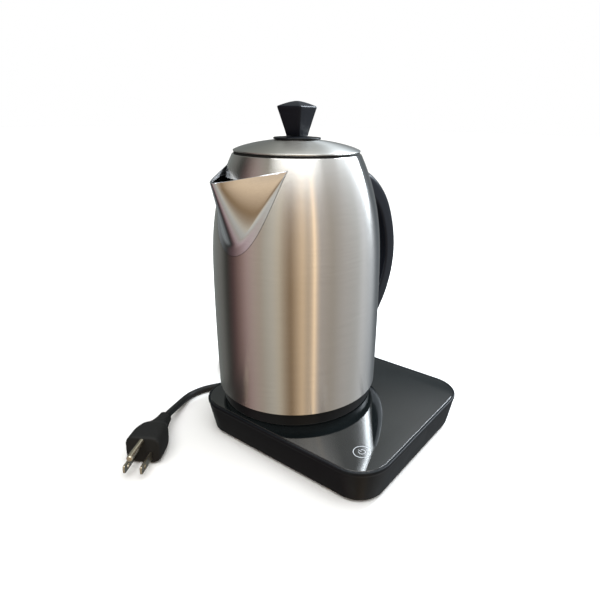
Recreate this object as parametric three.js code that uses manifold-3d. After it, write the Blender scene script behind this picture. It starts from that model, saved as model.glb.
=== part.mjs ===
// Cordless electric kettle: a brushed steel jug with a V-shaped spout, a black handle and a
// lift-off lid, standing on a touch-control power base with a black glass top.
// Millimetres, +Z up. The user's side of the base faces -Y, the spout points to -X,
// the handle to +X, and the mains cord leaves the base at +Y.
// Heights are counted from the table. Plan positions are counted from the jug's axis.
import * as THREE from 'three';
import { mergeVertices } from 'three/addons/utils/BufferGeometryUtils.js';
import Module from 'manifold-3d';

const wasm = await Module();
wasm.setup();

// ---------------------------------------------------------------- driving dimensions
const GAP = 0.3; // clearance between pieces that touch
const ROUND = 40; // sides of a large turned piece
const SMALL_ROUND = 16; // sides of a small turned piece

// power base
const BASE_WIDTH = 154; // along X
const BASE_DEPTH = 174; // along Y
const BASE_CORNER = 26; // corner radius in plan
const BASE_X = 9; // centre of the base from the jug's axis
const BASE_Y = -32.2;
const GLASS_TOP_Z = 28.2;
const GLASS_THICKNESS = 3;
const FOOT_HEIGHT = 2.2;
const FOOT_RADIUS = 7;
const FOOT_INSET = 24; // centre of a foot from the two nearest edges
const SIDE_DRAFT = 5.6; // how far the side walls lean in at the bottom
const BASE_WALL = 2.5;
const BEZEL = 2; // rim seen round the glass
const GLASS_LEDGE = 4; // shelf under the glass edge
const COVER_THICKNESS = 2;
const POST_HEIGHT = 4; // board posts on the bottom cover
const SCREW_INSET = 9; // cover screws from the side walls
const SCREW_SPACING_Y = 94;
const SCREW_RADIUS = 1.6;
const BOSS_RADIUS = 4;
const KEY_INSET_X = 24.4; // touch key from the left edge of the base
const KEY_INSET_Y = 22.6; // touch key from the front edge of the base
const BOARD_WIDTH = 64;
const BOARD_DEPTH = 52;
const BOARD_THICKNESS = 1.6;

// cordless connector, on the jug's axis
const PLINTH_RADIUS = 21.5; // raised boss through the glass
const PLINTH_TOP_Z = 38.5;
const SLOT_INNER = 9.5; // ring slot that takes the jug's contact blade
const SLOT_OUTER = 14.5;
const SLOT_DEPTH = 8.5;
const PIN_RADIUS = 3.3;
const PIN_TOP_Z = 44;
const BLADE_RADIUS = 12;
const BLADE_THICKNESS = 1.6;
const CONNECTOR_CLEARANCE = 0.8; // round the plinth
const CONNECTOR_WALL = 4.7;

// jug
const JUG_TURN = -4.5; // degrees that the jug is turned on its base
const SHELL_BOTTOM_Z = 39.4;
const SHELL_HEIGHT = 189.5;
const SHELL_BOTTOM_RADIUS = 66;
const SHELL_BELLY_RADIUS = 67.8;
const SHELL_TOP_RADIUS = 50.3;
const BELLY_SHARE = 0.5; // height of the widest place, as a share of the shell's height
const SHOULDER_POWER = 2.6; // how late the shoulder turns in
const SHELL_WALL = 1.2;
const LID_OPENING_RADIUS = 46;
const SKIRT_CLEARANCE = 1.8; // inside the bottom of the shell
const SKIRT_WALL = 2;
const SKIRT_OVERLAP = 6.5; // how far the skirt reaches up inside the shell
const FLOOR_THICKNESS = 1.2;
const SPREADER_CLEARANCE = 5; // inside the skirt
const SPREADER_THICKNESS = 2.4;
const ELEMENT_RADIUS = 44;
const ELEMENT_TUBE = 3.4;
const ELEMENT_ARC = 300; // degrees
const SENSOR_RADIUS = 3;
const SENSOR_LENGTH = 6;
const FUSE_RADIUS = 2;
const FUSE_LENGTH = 12;

// spout
const SPOUT_HALF_WIDTH = 33; // at the lip, where it meets the body
const SPOUT_LIP_DROP = 8.4; // from the shell's top down to the lip's ends
const SPOUT_DEPTH = 54.5; // from the lip's ends down to the lowest place of the V
const SPOUT_FULLNESS = 17; // roundness of the V
const SPOUT_TIP_PROUD = 14.2; // beyond the belly
const SPOUT_TIP_DROP = 7.5; // the tip is lower than the lip's ends
const SPOUT_TIP_ROUND = 7;
const SPOUT_FLANGE = 7; // flush rim round the V
const FLANGE_TAPER = 3; // how late the flush rim narrows on its way up to the lip
const POUR_HOLE_DROP = 8.5; // from the lip's ends down to the top of the hole
const RULING_POWER = 1.6; // how the V's points run up to the lip

// lid
const LID_SETBACK = 0.7; // of the lid's rim from the top of the shell
const LID_RIM_HEIGHT = 1;
const LID_DOME_HEIGHT = 8.6;
const LID_WALL = 1;
const LID_PLUG_DEPTH = 10;
const LID_PLUG_WALL = 2;
const SEAL_HEIGHT = 1.1;
const SEAL_WIDTH = 3;
const KNOB_DISC_RADIUS = 18.5;
const KNOB_DISC_THICKNESS = 1.4;
const KNOB_FOOT_RADIUS = 8.8; // from the axis to a corner
const KNOB_TOP_RADIUS = 16; // from the axis to a corner
const KNOB_HEIGHT = 22.6; // to the corners
const KNOB_CROWN = 3.6; // the top rises to a low point
const KNOB_TURN = 54; // degrees, from the handle to a corner of the knob
const KNOB_SCREW_RADIUS = 2;

// handle, in the plane y = 0 of the jug
const HANDLE_WIDTH = 24;
const HANDLE_THICKNESS = 18;
const HANDLE_CHANNEL = 16; // width of the channel on the finger side
const HANDLE_SKIN = 6; // thickness behind the channel
const HANDLE_COVER = 4;
const BRACKET_WIDTH = 12;
const BRACKET_THICKNESS = 3;
const BRACKET_SHARE = 0.17; // length of a bracket, as a share of the handle's length
const HANDLE_SCREW_RADIUS = 1.5;
const HANDLE_LINE = [ // distance beyond the belly, share of the shell's height
  [-21.8, 0.8844], [-1.8, 0.8765], [16.2, 0.8422], [36.7, 0.742], [49.2, 0.5889], [51.7, 0.4412],
  [44.2, 0.3013], [29.2, 0.1879], [12.2, 0.1193], [-7.8, 0.0823], [-21.8, 0.0718],
];

// mains cord
const CORD_RADIUS = 2.9;
const RELIEF_LENGTH = 32;
const RELIEF_RADIUS = 6.4;
const RELIEF_TIP_RADIUS = 3.9;
const RELIEF_NECK = 5;
const CORD_EXIT_Z = 15;
const COIL_X = 84;
const COIL_Y = 104;
const COIL_RADIUS = 38; // to the middle of the cord
const COIL_LAYERS = 2;
const CORD_TO_COIL = [ // from the strain relief to the coil
  [9, 86.7, 15], [9.2, 95, 14], [11.5, 105, 9], [17, 116, 4.6],
  [26, 126.5, 3.1], [39, 134.5, 3.1], [54, 139.6, 3.1], [68, 141.8, 3.1], [83.7, 142, 3.1],
];
const CORD_TO_PLUG = [ // from the coil to the plug
  [83.7, 66, 9], [72, 66, 8.5], [58, 66.4, 6], [44, 67, 3.8], [30, 68, 3.1], [17, 70.7, 3.1],
  [3, 75.3, 3.1], [-9.5, 81.2, 3.1], [-21, 88, 3.1], [-27.6, 91.3, 3.1], [-34.4, 93.2, 3.1],
  [-42.2, 93.5, 3.4], [-51.2, 91.1, 4.3], [-61.8, 85.8, 6], [-72.5, 79.7, 8.3],
  [-80.6, 74.7, 10.4], [-86.1, 71.3, 11.3],
];
const PLUG_X = -86.6;
const PLUG_Y = 71;
const PLUG_Z = 11.4;
const PLUG_TURN = 212; // degrees, the way the prongs point
const PLUG_LENGTH = 44;
const PLUG_HALF_WIDTH = 13.8;
const PLUG_HALF_HEIGHT = 11.1;
const BLADE_SPACING = 12.7;
const BLADE_LENGTH = 17.5;
const BLADE_WIDTH = 6.3;
const PLUG_BLADE_THICKNESS = 1.5;
const BLADE_DROP = 4; // blades below the plug's middle
const GROUND_PIN_RADIUS = 2.4;
const GROUND_PIN_LENGTH = 20.5;
const GROUND_PIN_RISE = 7.8;

// ---------------------------------------------------------------- finishes
const finish = (color, roughness, metalness = 0) =>
  new THREE.MeshStandardMaterial({ color, roughness, metalness });
const STEEL = finish(0xb9b6ae, 0.35, 1);
const STEEL_PLAIN = finish(0x9c9c9a, 0.45, 1);
const ALUMINIUM = finish(0xb4b6b8, 0.5, 1);
const BRASS = finish(0xc9a25a, 0.35, 1);
const PLASTIC = finish(0x15161a, 0.45);
const GLASS = finish(0x0d1214, 0.05);
const RUBBER = finish(0x1b1b1c, 0.85);
const BOARD = finish(0x1f5a38, 0.6);
const COMPONENT = finish(0x2a4f8a, 0.5);

// ---------------------------------------------------------------- solids
const radians = THREE.MathUtils.degToRad;

// A closed geometry as a solid with its faces pointing out.
function solid(geometry) {
  const bare = new THREE.BufferGeometry();
  bare.setAttribute('position', geometry.attributes.position.clone());
  if (geometry.index) bare.setIndex(geometry.index.clone());
  const merged = mergeVertices(bare, 1e-4);
  const position = merged.attributes.position;
  const corners = [];
  for (let i = 0; i < merged.index.count; i += 3) {
    const [a, b, c] = [0, 1, 2].map((k) => merged.index.getX(i + k));
    if (a !== b && b !== c && c !== a) corners.push([a, b, c]);
  }
  const point = (i) => new THREE.Vector3().fromBufferAttribute(position, i);
  let volume = 0;
  for (const [a, b, c] of corners) volume += point(a).dot(point(b).cross(point(c)));
  if (volume < 0) corners.forEach((triangle) => triangle.reverse());
  return new wasm.Manifold(new wasm.Mesh({
    numProp: 3,
    vertProperties: new Float32Array(position.array),
    triVerts: new Uint32Array(corners.flat()),
  }));
}

// A named mesh from a solid.
function piece(name, shape, material) {
  const mesh = shape.getMesh();
  const geometry = new THREE.BufferGeometry();
  geometry.setAttribute('position', new THREE.BufferAttribute(mesh.vertProperties, 3));
  geometry.setIndex(new THREE.BufferAttribute(mesh.triVerts, 1));
  geometry.computeVertexNormals();
  const made = new THREE.Mesh(geometry, material);
  made.name = name;
  return made;
}

// A turned solid about Z from [radius, height] points, closed on itself or along the axis.
function turned(profile, sides = SMALL_ROUND) {
  const points = profile.map(([r, z]) => new THREE.Vector2(r, z));
  const onAxis = profile[0][0] === 0 && profile.at(-1)[0] === 0;
  if (!onAxis) points.push(points[0].clone());
  return solid(new THREE.LatheGeometry(points, sides).rotateX(Math.PI / 2));
}

// A round bar along Z.
const rod = (radius, low, high, sides = SMALL_ROUND) =>
  turned([[0, low], [radius, low], [radius, high], [0, high]], sides);

// A ring along Z.
const ring = (inner, outer, low, high, sides = SMALL_ROUND) =>
  turned([[inner, low], [outer, low], [outer, high], [inner, high]], sides);

// A plain block from its middle and its size.
const block = (x, y, z, width, depth, height) =>
  solid(new THREE.BoxGeometry(width, depth, height).translate(x, y, z));

// A closed skin through rings of points. Without a loop its two ends are capped.
function loft(rings, looped = false) {
  const count = rings[0].length;
  const points = rings.flat();
  const faces = [];
  const spans = looped ? rings.length : rings.length - 1;
  for (let i = 0; i < spans; i++) {
    const low = i * count;
    const high = ((i + 1) % rings.length) * count;
    for (let j = 0; j < count; j++) {
      const k = (j + 1) % count;
      faces.push(low + j, low + k, high + k, low + j, high + k, high + j);
    }
  }
  if (!looped) {
    [[0, true], [rings.length - 1, false]].forEach(([i, first]) => {
      const middle = new THREE.Vector3();
      rings[i].forEach((p) => middle.addScaledVector(p, 1 / count));
      points.push(middle);
      for (let j = 0; j < count; j++) {
        const a = i * count + j;
        const b = i * count + ((j + 1) % count);
        faces.push(points.length - 1, first ? b : a, first ? a : b);
      }
    });
  }
  const geometry = new THREE.BufferGeometry().setFromPoints(points);
  geometry.setIndex(faces);
  return solid(geometry);
}

// A rounded rectangle of points at one height.
function roundedRectangle(halfX, halfY, corner, z, perCorner = 6) {
  const points = [];
  const signs = [[1, 1], [-1, 1], [-1, -1], [1, -1]];
  signs.forEach(([sx, sy], quarter) => {
    for (let i = 0; i <= perCorner; i++) {
      const angle = (quarter + i / perCorner) * (Math.PI / 2);
      points.push(new THREE.Vector3(
        sx * (halfX - corner) + corner * Math.cos(angle),
        sy * (halfY - corner) + corner * Math.sin(angle),
        z,
      ));
    }
  });
  return points;
}

// An outline in the X-Y plane pushed up between two heights.
function pushed(outline, low, high) {
  const shape = new THREE.Shape(outline.map(([x, y]) => new THREE.Vector2(x, y)));
  const depth = high - low;
  return solid(new THREE.ExtrudeGeometry(shape, { depth, bevelEnabled: false }).translate(0, 0, low));
}

// A section of [across, inward] points swept along a curve.
function swept(section, curve, steps) {
  const shape = new THREE.Shape(section.map(([x, y]) => new THREE.Vector2(x, y)));
  return solid(new THREE.ExtrudeGeometry(shape, { steps, extrudePath: curve, bevelEnabled: false }));
}

const circle = (radius, sides) => Array.from({ length: sides }, (_, i) => {
  const angle = (i / sides) * 2 * Math.PI;
  return [radius * Math.cos(angle), radius * Math.sin(angle)];
});

// ---------------------------------------------------------------- power base
const base = new THREE.Group();
base.position.set(BASE_X, BASE_Y, 0);

const glassBottomZ = GLASS_TOP_Z - GLASS_THICKNESS;
const ledgeZ = glassBottomZ - GAP;
const ledgeBottomZ = ledgeZ - 2.2;
const rimZ = GLASS_TOP_Z - 3.6; // where the side walls begin to lean in
const RIM_LEAN = 0.6;
const EDGE_ROUND = 0.8;
const coverTopZ = FOOT_HEIGHT + COVER_THICKNESS;

// The outer outline of the base, moved in by some distance.
const baseOutline = (inset, z) => roundedRectangle(
  BASE_WIDTH / 2 - inset,
  BASE_DEPTH / 2 - inset,
  Math.max(BASE_CORNER - inset, 2),
  z,
);

// How far the outer side wall leans in at a height.
const leanAt = (z) => THREE.MathUtils.mapLinear(z, FOOT_HEIGHT, rimZ, SIDE_DRAFT, RIM_LEAN);
const innerWallAt = (z) => leanAt(z) + BASE_WALL;

function baseHousing() {
  const skin = [
    [SIDE_DRAFT, FOOT_HEIGHT], [RIM_LEAN, rimZ], [0, rimZ + 1.6], [0, GLASS_TOP_Z - EDGE_ROUND],
    [EDGE_ROUND, GLASS_TOP_Z], [BEZEL, GLASS_TOP_Z], [BEZEL, ledgeZ], [BEZEL + GLASS_LEDGE, ledgeZ],
    [BEZEL + GLASS_LEDGE, ledgeBottomZ], [innerWallAt(ledgeBottomZ), ledgeBottomZ],
    [innerWallAt(FOOT_HEIGHT), FOOT_HEIGHT],
  ];
  let housing = loft(skin.map(([inset, z]) => baseOutline(inset, z)), true);
  for (const [x, y] of screwPlaces()) {
    const boss = rod(BOSS_RADIUS, coverTopZ + GAP, ledgeBottomZ + 1, 16).translate([x, y, 0]);
    const hole = rod(SCREW_RADIUS + GAP, 0, coverTopZ + 12, 12).translate([x, y, 0]);
    housing = housing.add(boss).subtract(hole);
  }
  const outlet = rod(RELIEF_NECK + GAP, 0, 40, 20).rotate([-90, 0, 0]);
  return housing.subtract(outlet.translate([0, BASE_DEPTH / 2 - 20, CORD_EXIT_Z]));
}

function screwPlaces() {
  const x = BASE_WIDTH / 2 - SCREW_INSET;
  const y = SCREW_SPACING_Y / 2;
  return [[-x, -y], [x, -y], [x, y], [-x, y]];
}

function bottomCover() {
  const edge = innerWallAt(FOOT_HEIGHT) + GAP;
  let cover = loft([baseOutline(edge, FOOT_HEIGHT), baseOutline(edge, coverTopZ)]);
  for (const [x, y] of boardPosts()) {
    cover = cover.add(rod(3, FOOT_HEIGHT + 1, coverTopZ + POST_HEIGHT, 12).translate([x, y, 0]));
  }
  for (const [x, y] of screwPlaces()) {
    cover = cover.subtract(rod(SCREW_RADIUS + GAP, 0, coverTopZ + 1, 12).translate([x, y, 0]));
  }
  return cover;
}

const boardY = -BASE_DEPTH / 4; // the board lies in the front half of the base
const boardX = 12;
const boardZ = coverTopZ + POST_HEIGHT + GAP;
const boardTopZ = boardZ + BOARD_THICKNESS;

function boardPosts() {
  const x = BOARD_WIDTH / 2 - 5;
  const y = BOARD_DEPTH / 2 - 5;
  return [[-x, -y], [x, -y], [x, y], [-x, y]].map(([dx, dy]) => [boardX + dx, boardY + dy]);
}

function glassTop() {
  const edge = BEZEL + GAP;
  const plate = loft([
    baseOutline(edge, glassBottomZ),
    baseOutline(edge, GLASS_TOP_Z - 0.3),
    baseOutline(edge + 0.3, GLASS_TOP_Z),
  ]);
  const hole = rod(PLINTH_RADIUS + GAP, 0, GLASS_TOP_Z + 10, ROUND);
  return plate.subtract(hole.translate([-BASE_X, -BASE_Y, 0]));
}

base.add(piece('base_housing', baseHousing(), PLASTIC));
base.add(piece('base_bottom_cover', bottomCover(), PLASTIC));
base.add(piece('glass_top', glassTop(), GLASS));

const footX = BASE_WIDTH / 2 - FOOT_INSET;
const footY = BASE_DEPTH / 2 - FOOT_INSET;
const FOOT_PLACES = {
  foot_front_left: [-footX, -footY],
  foot_front_right: [footX, -footY],
  foot_rear_right: [footX, footY],
  foot_rear_left: [-footX, footY],
};
for (const [name, [x, y]] of Object.entries(FOOT_PLACES)) {
  const foot = piece(name, rod(FOOT_RADIUS, 0, FOOT_HEIGHT - GAP), RUBBER);
  foot.position.set(x, y, 0);
  base.add(foot);
}

const SCREW_HEAD_Z = 0.8;
screwPlaces().forEach(([x, y], i) => {
  const profile = [
    [0, SCREW_HEAD_Z], [3, SCREW_HEAD_Z], [3, FOOT_HEIGHT - GAP], [SCREW_RADIUS, FOOT_HEIGHT - GAP],
    [SCREW_RADIUS, coverTopZ + 10], [0, coverTopZ + 11],
  ];
  const screw = piece(`cover_screw_${i + 1}`, turned(profile, 12), STEEL_PLAIN);
  screw.position.set(x, y, 0);
  base.add(screw);
});

// Control electronics: the power board with its parts, and the touch board under the glass.
const boardMiddleZ = boardZ + BOARD_THICKNESS / 2;
const controlBoard = block(boardX, boardY, boardMiddleZ, BOARD_WIDTH, BOARD_DEPTH, BOARD_THICKNESS);
base.add(piece('control_board', controlBoard, BOARD));
const RELAY_HEIGHT = 11;
const relayZ = boardTopZ + GAP + RELAY_HEIGHT / 2;
base.add(piece('relay', block(boardX + 14, boardY + 12, relayZ, 19, 15, RELAY_HEIGHT), COMPONENT));
const capacitor = piece('filter_capacitor', rod(5.5, boardTopZ + GAP, boardTopZ + 10), COMPONENT);
capacitor.position.set(boardX - 16, boardY + 12, 0);
const buzzer = piece('buzzer', rod(6, boardTopZ + GAP, boardTopZ + 6), PLASTIC);
buzzer.position.set(boardX + 12, boardY - 14, 0);
const terminal = block(boardX - 14, boardY - 14, boardTopZ + GAP + 5, 22, 10, 10);
base.add(capacitor, buzzer, piece('terminal_block', terminal, PLASTIC));

const ELECTRODE_HEIGHT = 1.2;
const electrode = ring(4.5, 8, glassBottomZ - GAP - ELECTRODE_HEIGHT, glassBottomZ - GAP);
const touchElectrode = piece('touch_electrode', electrode, BRASS);
const touchBoardZ = glassBottomZ - 2 * GAP - ELECTRODE_HEIGHT - 0.8;
const touchBoard = piece('touch_board', block(0, 0, touchBoardZ, 20, 18, BOARD_THICKNESS), BOARD);
for (const part of [touchElectrode, touchBoard]) {
  part.position.set(KEY_INSET_X - BASE_WIDTH / 2, KEY_INSET_Y - BASE_DEPTH / 2, 0);
  base.add(part);
}

// Base half of the cordless connector.
const connector = new THREE.Group();
const plinthBottomZ = 12;
const PLINTH_FLANGE = 2.5;
const slotBottomZ = PLINTH_TOP_Z - SLOT_DEPTH;
connector.add(piece('base_connector', turned([
  [PIN_RADIUS + GAP, plinthBottomZ], [PLINTH_RADIUS + PLINTH_FLANGE, plinthBottomZ],
  [PLINTH_RADIUS + PLINTH_FLANGE, plinthBottomZ + 2], [PLINTH_RADIUS, plinthBottomZ + 2],
  [PLINTH_RADIUS, PLINTH_TOP_Z - 1.5], [PLINTH_RADIUS - 1.5, PLINTH_TOP_Z], [SLOT_OUTER, PLINTH_TOP_Z],
  [SLOT_OUTER, slotBottomZ], [SLOT_INNER, slotBottomZ], [SLOT_INNER, PLINTH_TOP_Z],
  [PIN_RADIUS + GAP, PLINTH_TOP_Z],
], ROUND), PLASTIC));
connector.add(piece('earth_pin', turned([
  [0, plinthBottomZ - GAP - 2], [6, plinthBottomZ - GAP - 2], [6, plinthBottomZ - GAP],
  [PIN_RADIUS, plinthBottomZ - GAP], [PIN_RADIUS, PIN_TOP_Z - 1.6], [0, PIN_TOP_Z],
]), BRASS));
const bladeInner = BLADE_RADIUS - BLADE_THICKNESS / 2;
const bladeOuter = BLADE_RADIUS + BLADE_THICKNESS / 2;
const contactRing = ring(SLOT_INNER + GAP, bladeInner - 2 * GAP, slotBottomZ + GAP, PLINTH_TOP_Z - 2, ROUND);
connector.add(piece('base_contact_ring', contactRing, BRASS));

// ---------------------------------------------------------------- jug
const jug = new THREE.Group();
jug.rotation.z = radians(JUG_TURN);
const shellTopZ = SHELL_BOTTOM_Z + SHELL_HEIGHT;
const bellyZ = SHELL_BOTTOM_Z + BELLY_SHARE * SHELL_HEIGHT;
const spoutLipZ = shellTopZ - SPOUT_LIP_DROP;
const spoutFootZ = spoutLipZ - SPOUT_DEPTH;
const spoutTipZ = spoutLipZ - SPOUT_TIP_DROP;
const spoutTipReach = SHELL_BELLY_RADIUS + SPOUT_TIP_PROUD;
const pourHoleTopZ = spoutLipZ - POUR_HOLE_DROP;

// Outer radius of the shell at a height: nearly straight below the belly, a shoulder above it.
function shellRadius(z) {
  if (z <= bellyZ) {
    const down = (bellyZ - z) / (bellyZ - SHELL_BOTTOM_Z);
    return SHELL_BELLY_RADIUS - (SHELL_BELLY_RADIUS - SHELL_BOTTOM_RADIUS) * down ** 2;
  }
  const up = (z - bellyZ) / (shellTopZ - bellyZ);
  return SHELL_BELLY_RADIUS - (SHELL_BELLY_RADIUS - SHELL_TOP_RADIUS) * up ** SHOULDER_POWER;
}

// Heights up the shell, closer together at the shoulder.
const shellHeights = (low, high, count) => Array.from({ length: count + 1 }, (_, i) =>
  low + (high - low) * (1 - (1 - i / count) ** 1.5));

const shellLine = (low, high, offset) =>
  shellHeights(low, high, 10).map((z) => [shellRadius(z) + offset, z]);

// The whole space inside a line that runs some distance outside the shell's skin.
const shellSpace = (offset, low, high) => turned([
  [0, low], ...shellLine(low, high, offset), [0, high],
], ROUND);

const lipZ = shellTopZ - SHELL_WALL;
const shellWall = turned([
  ...shellLine(SHELL_BOTTOM_Z, shellTopZ, 0),
  [LID_OPENING_RADIUS, shellTopZ],
  [LID_OPENING_RADIUS, lipZ],
  ...shellLine(SHELL_BOTTOM_Z, lipZ, -SHELL_WALL).reverse(),
], ROUND);

// The V where the spout meets the body, as [across, height], for q from -1 to 1.
function spoutV(q) {
  const a = Math.abs(q);
  const across = 2 * a * (1 - a) * SPOUT_FULLNESS + a * a * SPOUT_HALF_WIDTH;
  return [Math.sign(q) * across, spoutFootZ + a * a * (spoutLipZ - spoutFootZ)];
}

// The V moved outwards by a distance, or inwards by a negative one.
function spoutVMoved(q, distance) {
  const step = 1e-3;
  const [x0, z0] = spoutV(q - step);
  const [x1, z1] = spoutV(q + step);
  const length = Math.hypot(x1 - x0, z1 - z0);
  const [x, z] = spoutV(q);
  return [x + ((z1 - z0) / length) * distance, z - ((x1 - x0) / length) * distance];
}

const V_STEPS = 24;
const vParameters = (most) => Array.from({ length: V_STEPS + 1 }, (_, i) => most * ((2 * i) / V_STEPS - 1));

// An outline of [across, height] points pushed through the spout's side of the body.
function throughSpoutSide(outline) {
  const reach = spoutTipReach + 10;
  const pushedUp = pushed(outline, -reach, -15);
  return pushedUp.rotate([90, 0, 90]);
}

// The band round the V, from inside the wall out to the rim's edge and a margin, up to a height.
function spoutBand(margin, top) {
  const rimWidth = (q) => SPOUT_FLANGE * (1 - Math.abs(q) ** FLANGE_TAPER);
  const outside = vParameters(1).map((q) => spoutVMoved(q, rimWidth(q) + margin));
  const inside = vParameters(1).map((q) => spoutVMoved(q, -SHELL_WALL - margin)).reverse();
  const first = outside[0][0];
  const last = outside.at(-1)[0];
  return throughSpoutSide([
    [first, top], ...outside, [last, top], [inside[0][0], top], ...inside, [inside.at(-1)[0], top],
  ]);
}

// The opening in the body behind the spout.
function pourHole(inset) {
  const most = Math.sqrt((pourHoleTopZ - spoutFootZ) / (spoutLipZ - spoutFootZ));
  return throughSpoutSide(vParameters(most).map((q) => spoutVMoved(q, -inset)));
}

// The space inside the beak's skin, moved in by a distance. It starts inside the body.
function beakSpace(inset, rise) {
  const halfWidth = SPOUT_HALF_WIDTH - inset;
  const tipReach = spoutTipReach - 1.4 * inset;
  const endReach = Math.sqrt(shellRadius(spoutLipZ) ** 2 - halfWidth ** 2);
  const sweep = tipReach - endReach + SPOUT_TIP_ROUND;
  const slope = Math.sqrt(sweep ** 2 - SPOUT_TIP_ROUND ** 2) / halfWidth;
  const foot = vParameters(1).map((q) => {
    const [across, z] = Math.abs(q) === 1 ? [Math.sign(q) * halfWidth, spoutLipZ] : spoutVMoved(q, -inset);
    return new THREE.Vector3(-Math.sqrt(shellRadius(z) ** 2 - across ** 2), across, z);
  });
  const lip = vParameters(1).map((q) => {
    const across = Math.sign(q) * Math.abs(q) ** RULING_POWER * halfWidth;
    const reach = tipReach + SPOUT_TIP_ROUND - Math.hypot(slope * across, SPOUT_TIP_ROUND);
    const z = THREE.MathUtils.mapLinear(reach, tipReach, endReach, spoutTipZ, spoutLipZ);
    return new THREE.Vector3(-reach, across, z);
  });
  const inwards = foot.map((p) => p.clone().add(new THREE.Vector3(8, 0, 0)));
  const rings = [inwards, foot, lip];
  if (rise) rings.push(lip.map((p) => p.clone().add(new THREE.Vector3(0, 0, rise))));
  return loft(rings);
}

const bodyInside = shellSpace(-SHELL_WALL, SHELL_BOTTOM_Z, shellTopZ);
const flange = shellWall.intersect(spoutBand(0, spoutLipZ));
const beak = beakSpace(0, 0).subtract(beakSpace(SHELL_WALL, 6)).subtract(bodyInside);
const spout = flange.add(beak);
const seam = GAP;
const shell = shellWall
  .subtract(spoutBand(seam, spoutLipZ + seam))
  .subtract(pourHole(SHELL_WALL + seam / 2));
jug.add(piece('jug_shell', shell, STEEL));
jug.add(piece('spout', spout, STEEL));

// Underside: skirt, jug half of the connector, heater and floor.
const skirtBottomZ = GLASS_TOP_Z + GAP;
const skirtFloorZ = skirtBottomZ + SKIRT_WALL;
const skirtTopZ = SHELL_BOTTOM_Z + SKIRT_OVERLAP;
const skirtRadius = SHELL_BOTTOM_RADIUS - SHELL_WALL - SKIRT_CLEARANCE;
const socketRadius = PLINTH_RADIUS + CONNECTOR_CLEARANCE;
jug.add(piece('jug_skirt', turned([
  [socketRadius + 1.2, skirtBottomZ], [skirtRadius - 1, skirtBottomZ], [skirtRadius, skirtBottomZ + 1],
  [skirtRadius, skirtTopZ], [skirtRadius - SKIRT_WALL, skirtTopZ], [skirtRadius - SKIRT_WALL, skirtFloorZ],
  [socketRadius + 1.2, skirtFloorZ],
], ROUND), PLASTIC));

const socketRoofZ = PLINTH_TOP_Z + 0.8;
const socketTopZ = PIN_TOP_Z + 3;
const socketOuter = socketRadius + CONNECTOR_WALL;
const pinHole = PIN_RADIUS + 0.9;
const turntable = new THREE.Group();
turntable.add(piece('jug_connector', turned([
  [0, PIN_TOP_Z + 0.8], [pinHole, PIN_TOP_Z + 0.8], [pinHole, socketRoofZ], [socketRadius, socketRoofZ],
  [socketRadius, skirtFloorZ + GAP], [socketOuter, skirtFloorZ + GAP], [socketOuter, socketTopZ - 2],
  [socketOuter - 2, socketTopZ], [0, socketTopZ],
], ROUND), PLASTIC));
const blade = ring(bladeInner, bladeOuter, slotBottomZ + 2, socketRoofZ - GAP, ROUND);
turntable.add(piece('jug_contact_blade', blade, BRASS));

const spreaderZ = socketTopZ + GAP;
const spreaderRadius = skirtRadius - SKIRT_WALL - SPREADER_CLEARANCE;
const floorZ = spreaderZ + SPREADER_THICKNESS + GAP;
const floorRadius = shellRadius(floorZ) - SHELL_WALL - 2 * GAP;
const spreader = rod(spreaderRadius, spreaderZ, spreaderZ + SPREADER_THICKNESS, ROUND);
jug.add(piece('heat_spreader', spreader, ALUMINIUM));
jug.add(piece('floor_plate', rod(floorRadius, floorZ, floorZ + FLOOR_THICKNESS, ROUND), STEEL_PLAIN));

const elementLine = Array.from({ length: 25 }, (_, i) => {
  const angle = radians(ELEMENT_ARC) * (i / 24 - 0.5);
  return new THREE.Vector3(ELEMENT_RADIUS * Math.cos(angle), ELEMENT_RADIUS * Math.sin(angle), 0);
});
const elementZ = spreaderZ - GAP - ELEMENT_TUBE;
const element = swept(circle(ELEMENT_TUBE, 8), new THREE.CatmullRomCurve3(elementLine), 30);
jug.add(piece('heating_element', element.translate([0, 0, elementZ]), STEEL_PLAIN));
const innerPartsRadius = (socketOuter + ELEMENT_RADIUS - ELEMENT_TUBE) / 2;
const sensor = rod(SENSOR_RADIUS, spreaderZ - GAP - SENSOR_LENGTH, spreaderZ - GAP, 16);
const sensorPiece = piece('temperature_sensor', sensor, STEEL_PLAIN);
sensorPiece.position.set(0, innerPartsRadius, 0);
const fuse = rod(FUSE_RADIUS, -FUSE_LENGTH / 2, FUSE_LENGTH / 2, 12).rotate([0, 90, 0]);
const fusePiece = piece('thermal_fuse', fuse, COMPONENT);
fusePiece.position.set(0, -innerPartsRadius, spreaderZ - GAP - FUSE_RADIUS);
jug.add(sensorPiece, fusePiece);

// ---------------------------------------------------------------- handle
const handleLine = new THREE.CatmullRomCurve3(HANDLE_LINE.map(([beyond, share]) =>
  new THREE.Vector3(SHELL_BELLY_RADIUS + beyond, 0, SHELL_BOTTOM_Z + share * SHELL_HEIGHT)));
const halfWidth = HANDLE_WIDTH / 2;
const halfThickness = HANDLE_THICKNESS / 2;
const halfChannel = HANDLE_CHANNEL / 2;

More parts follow.
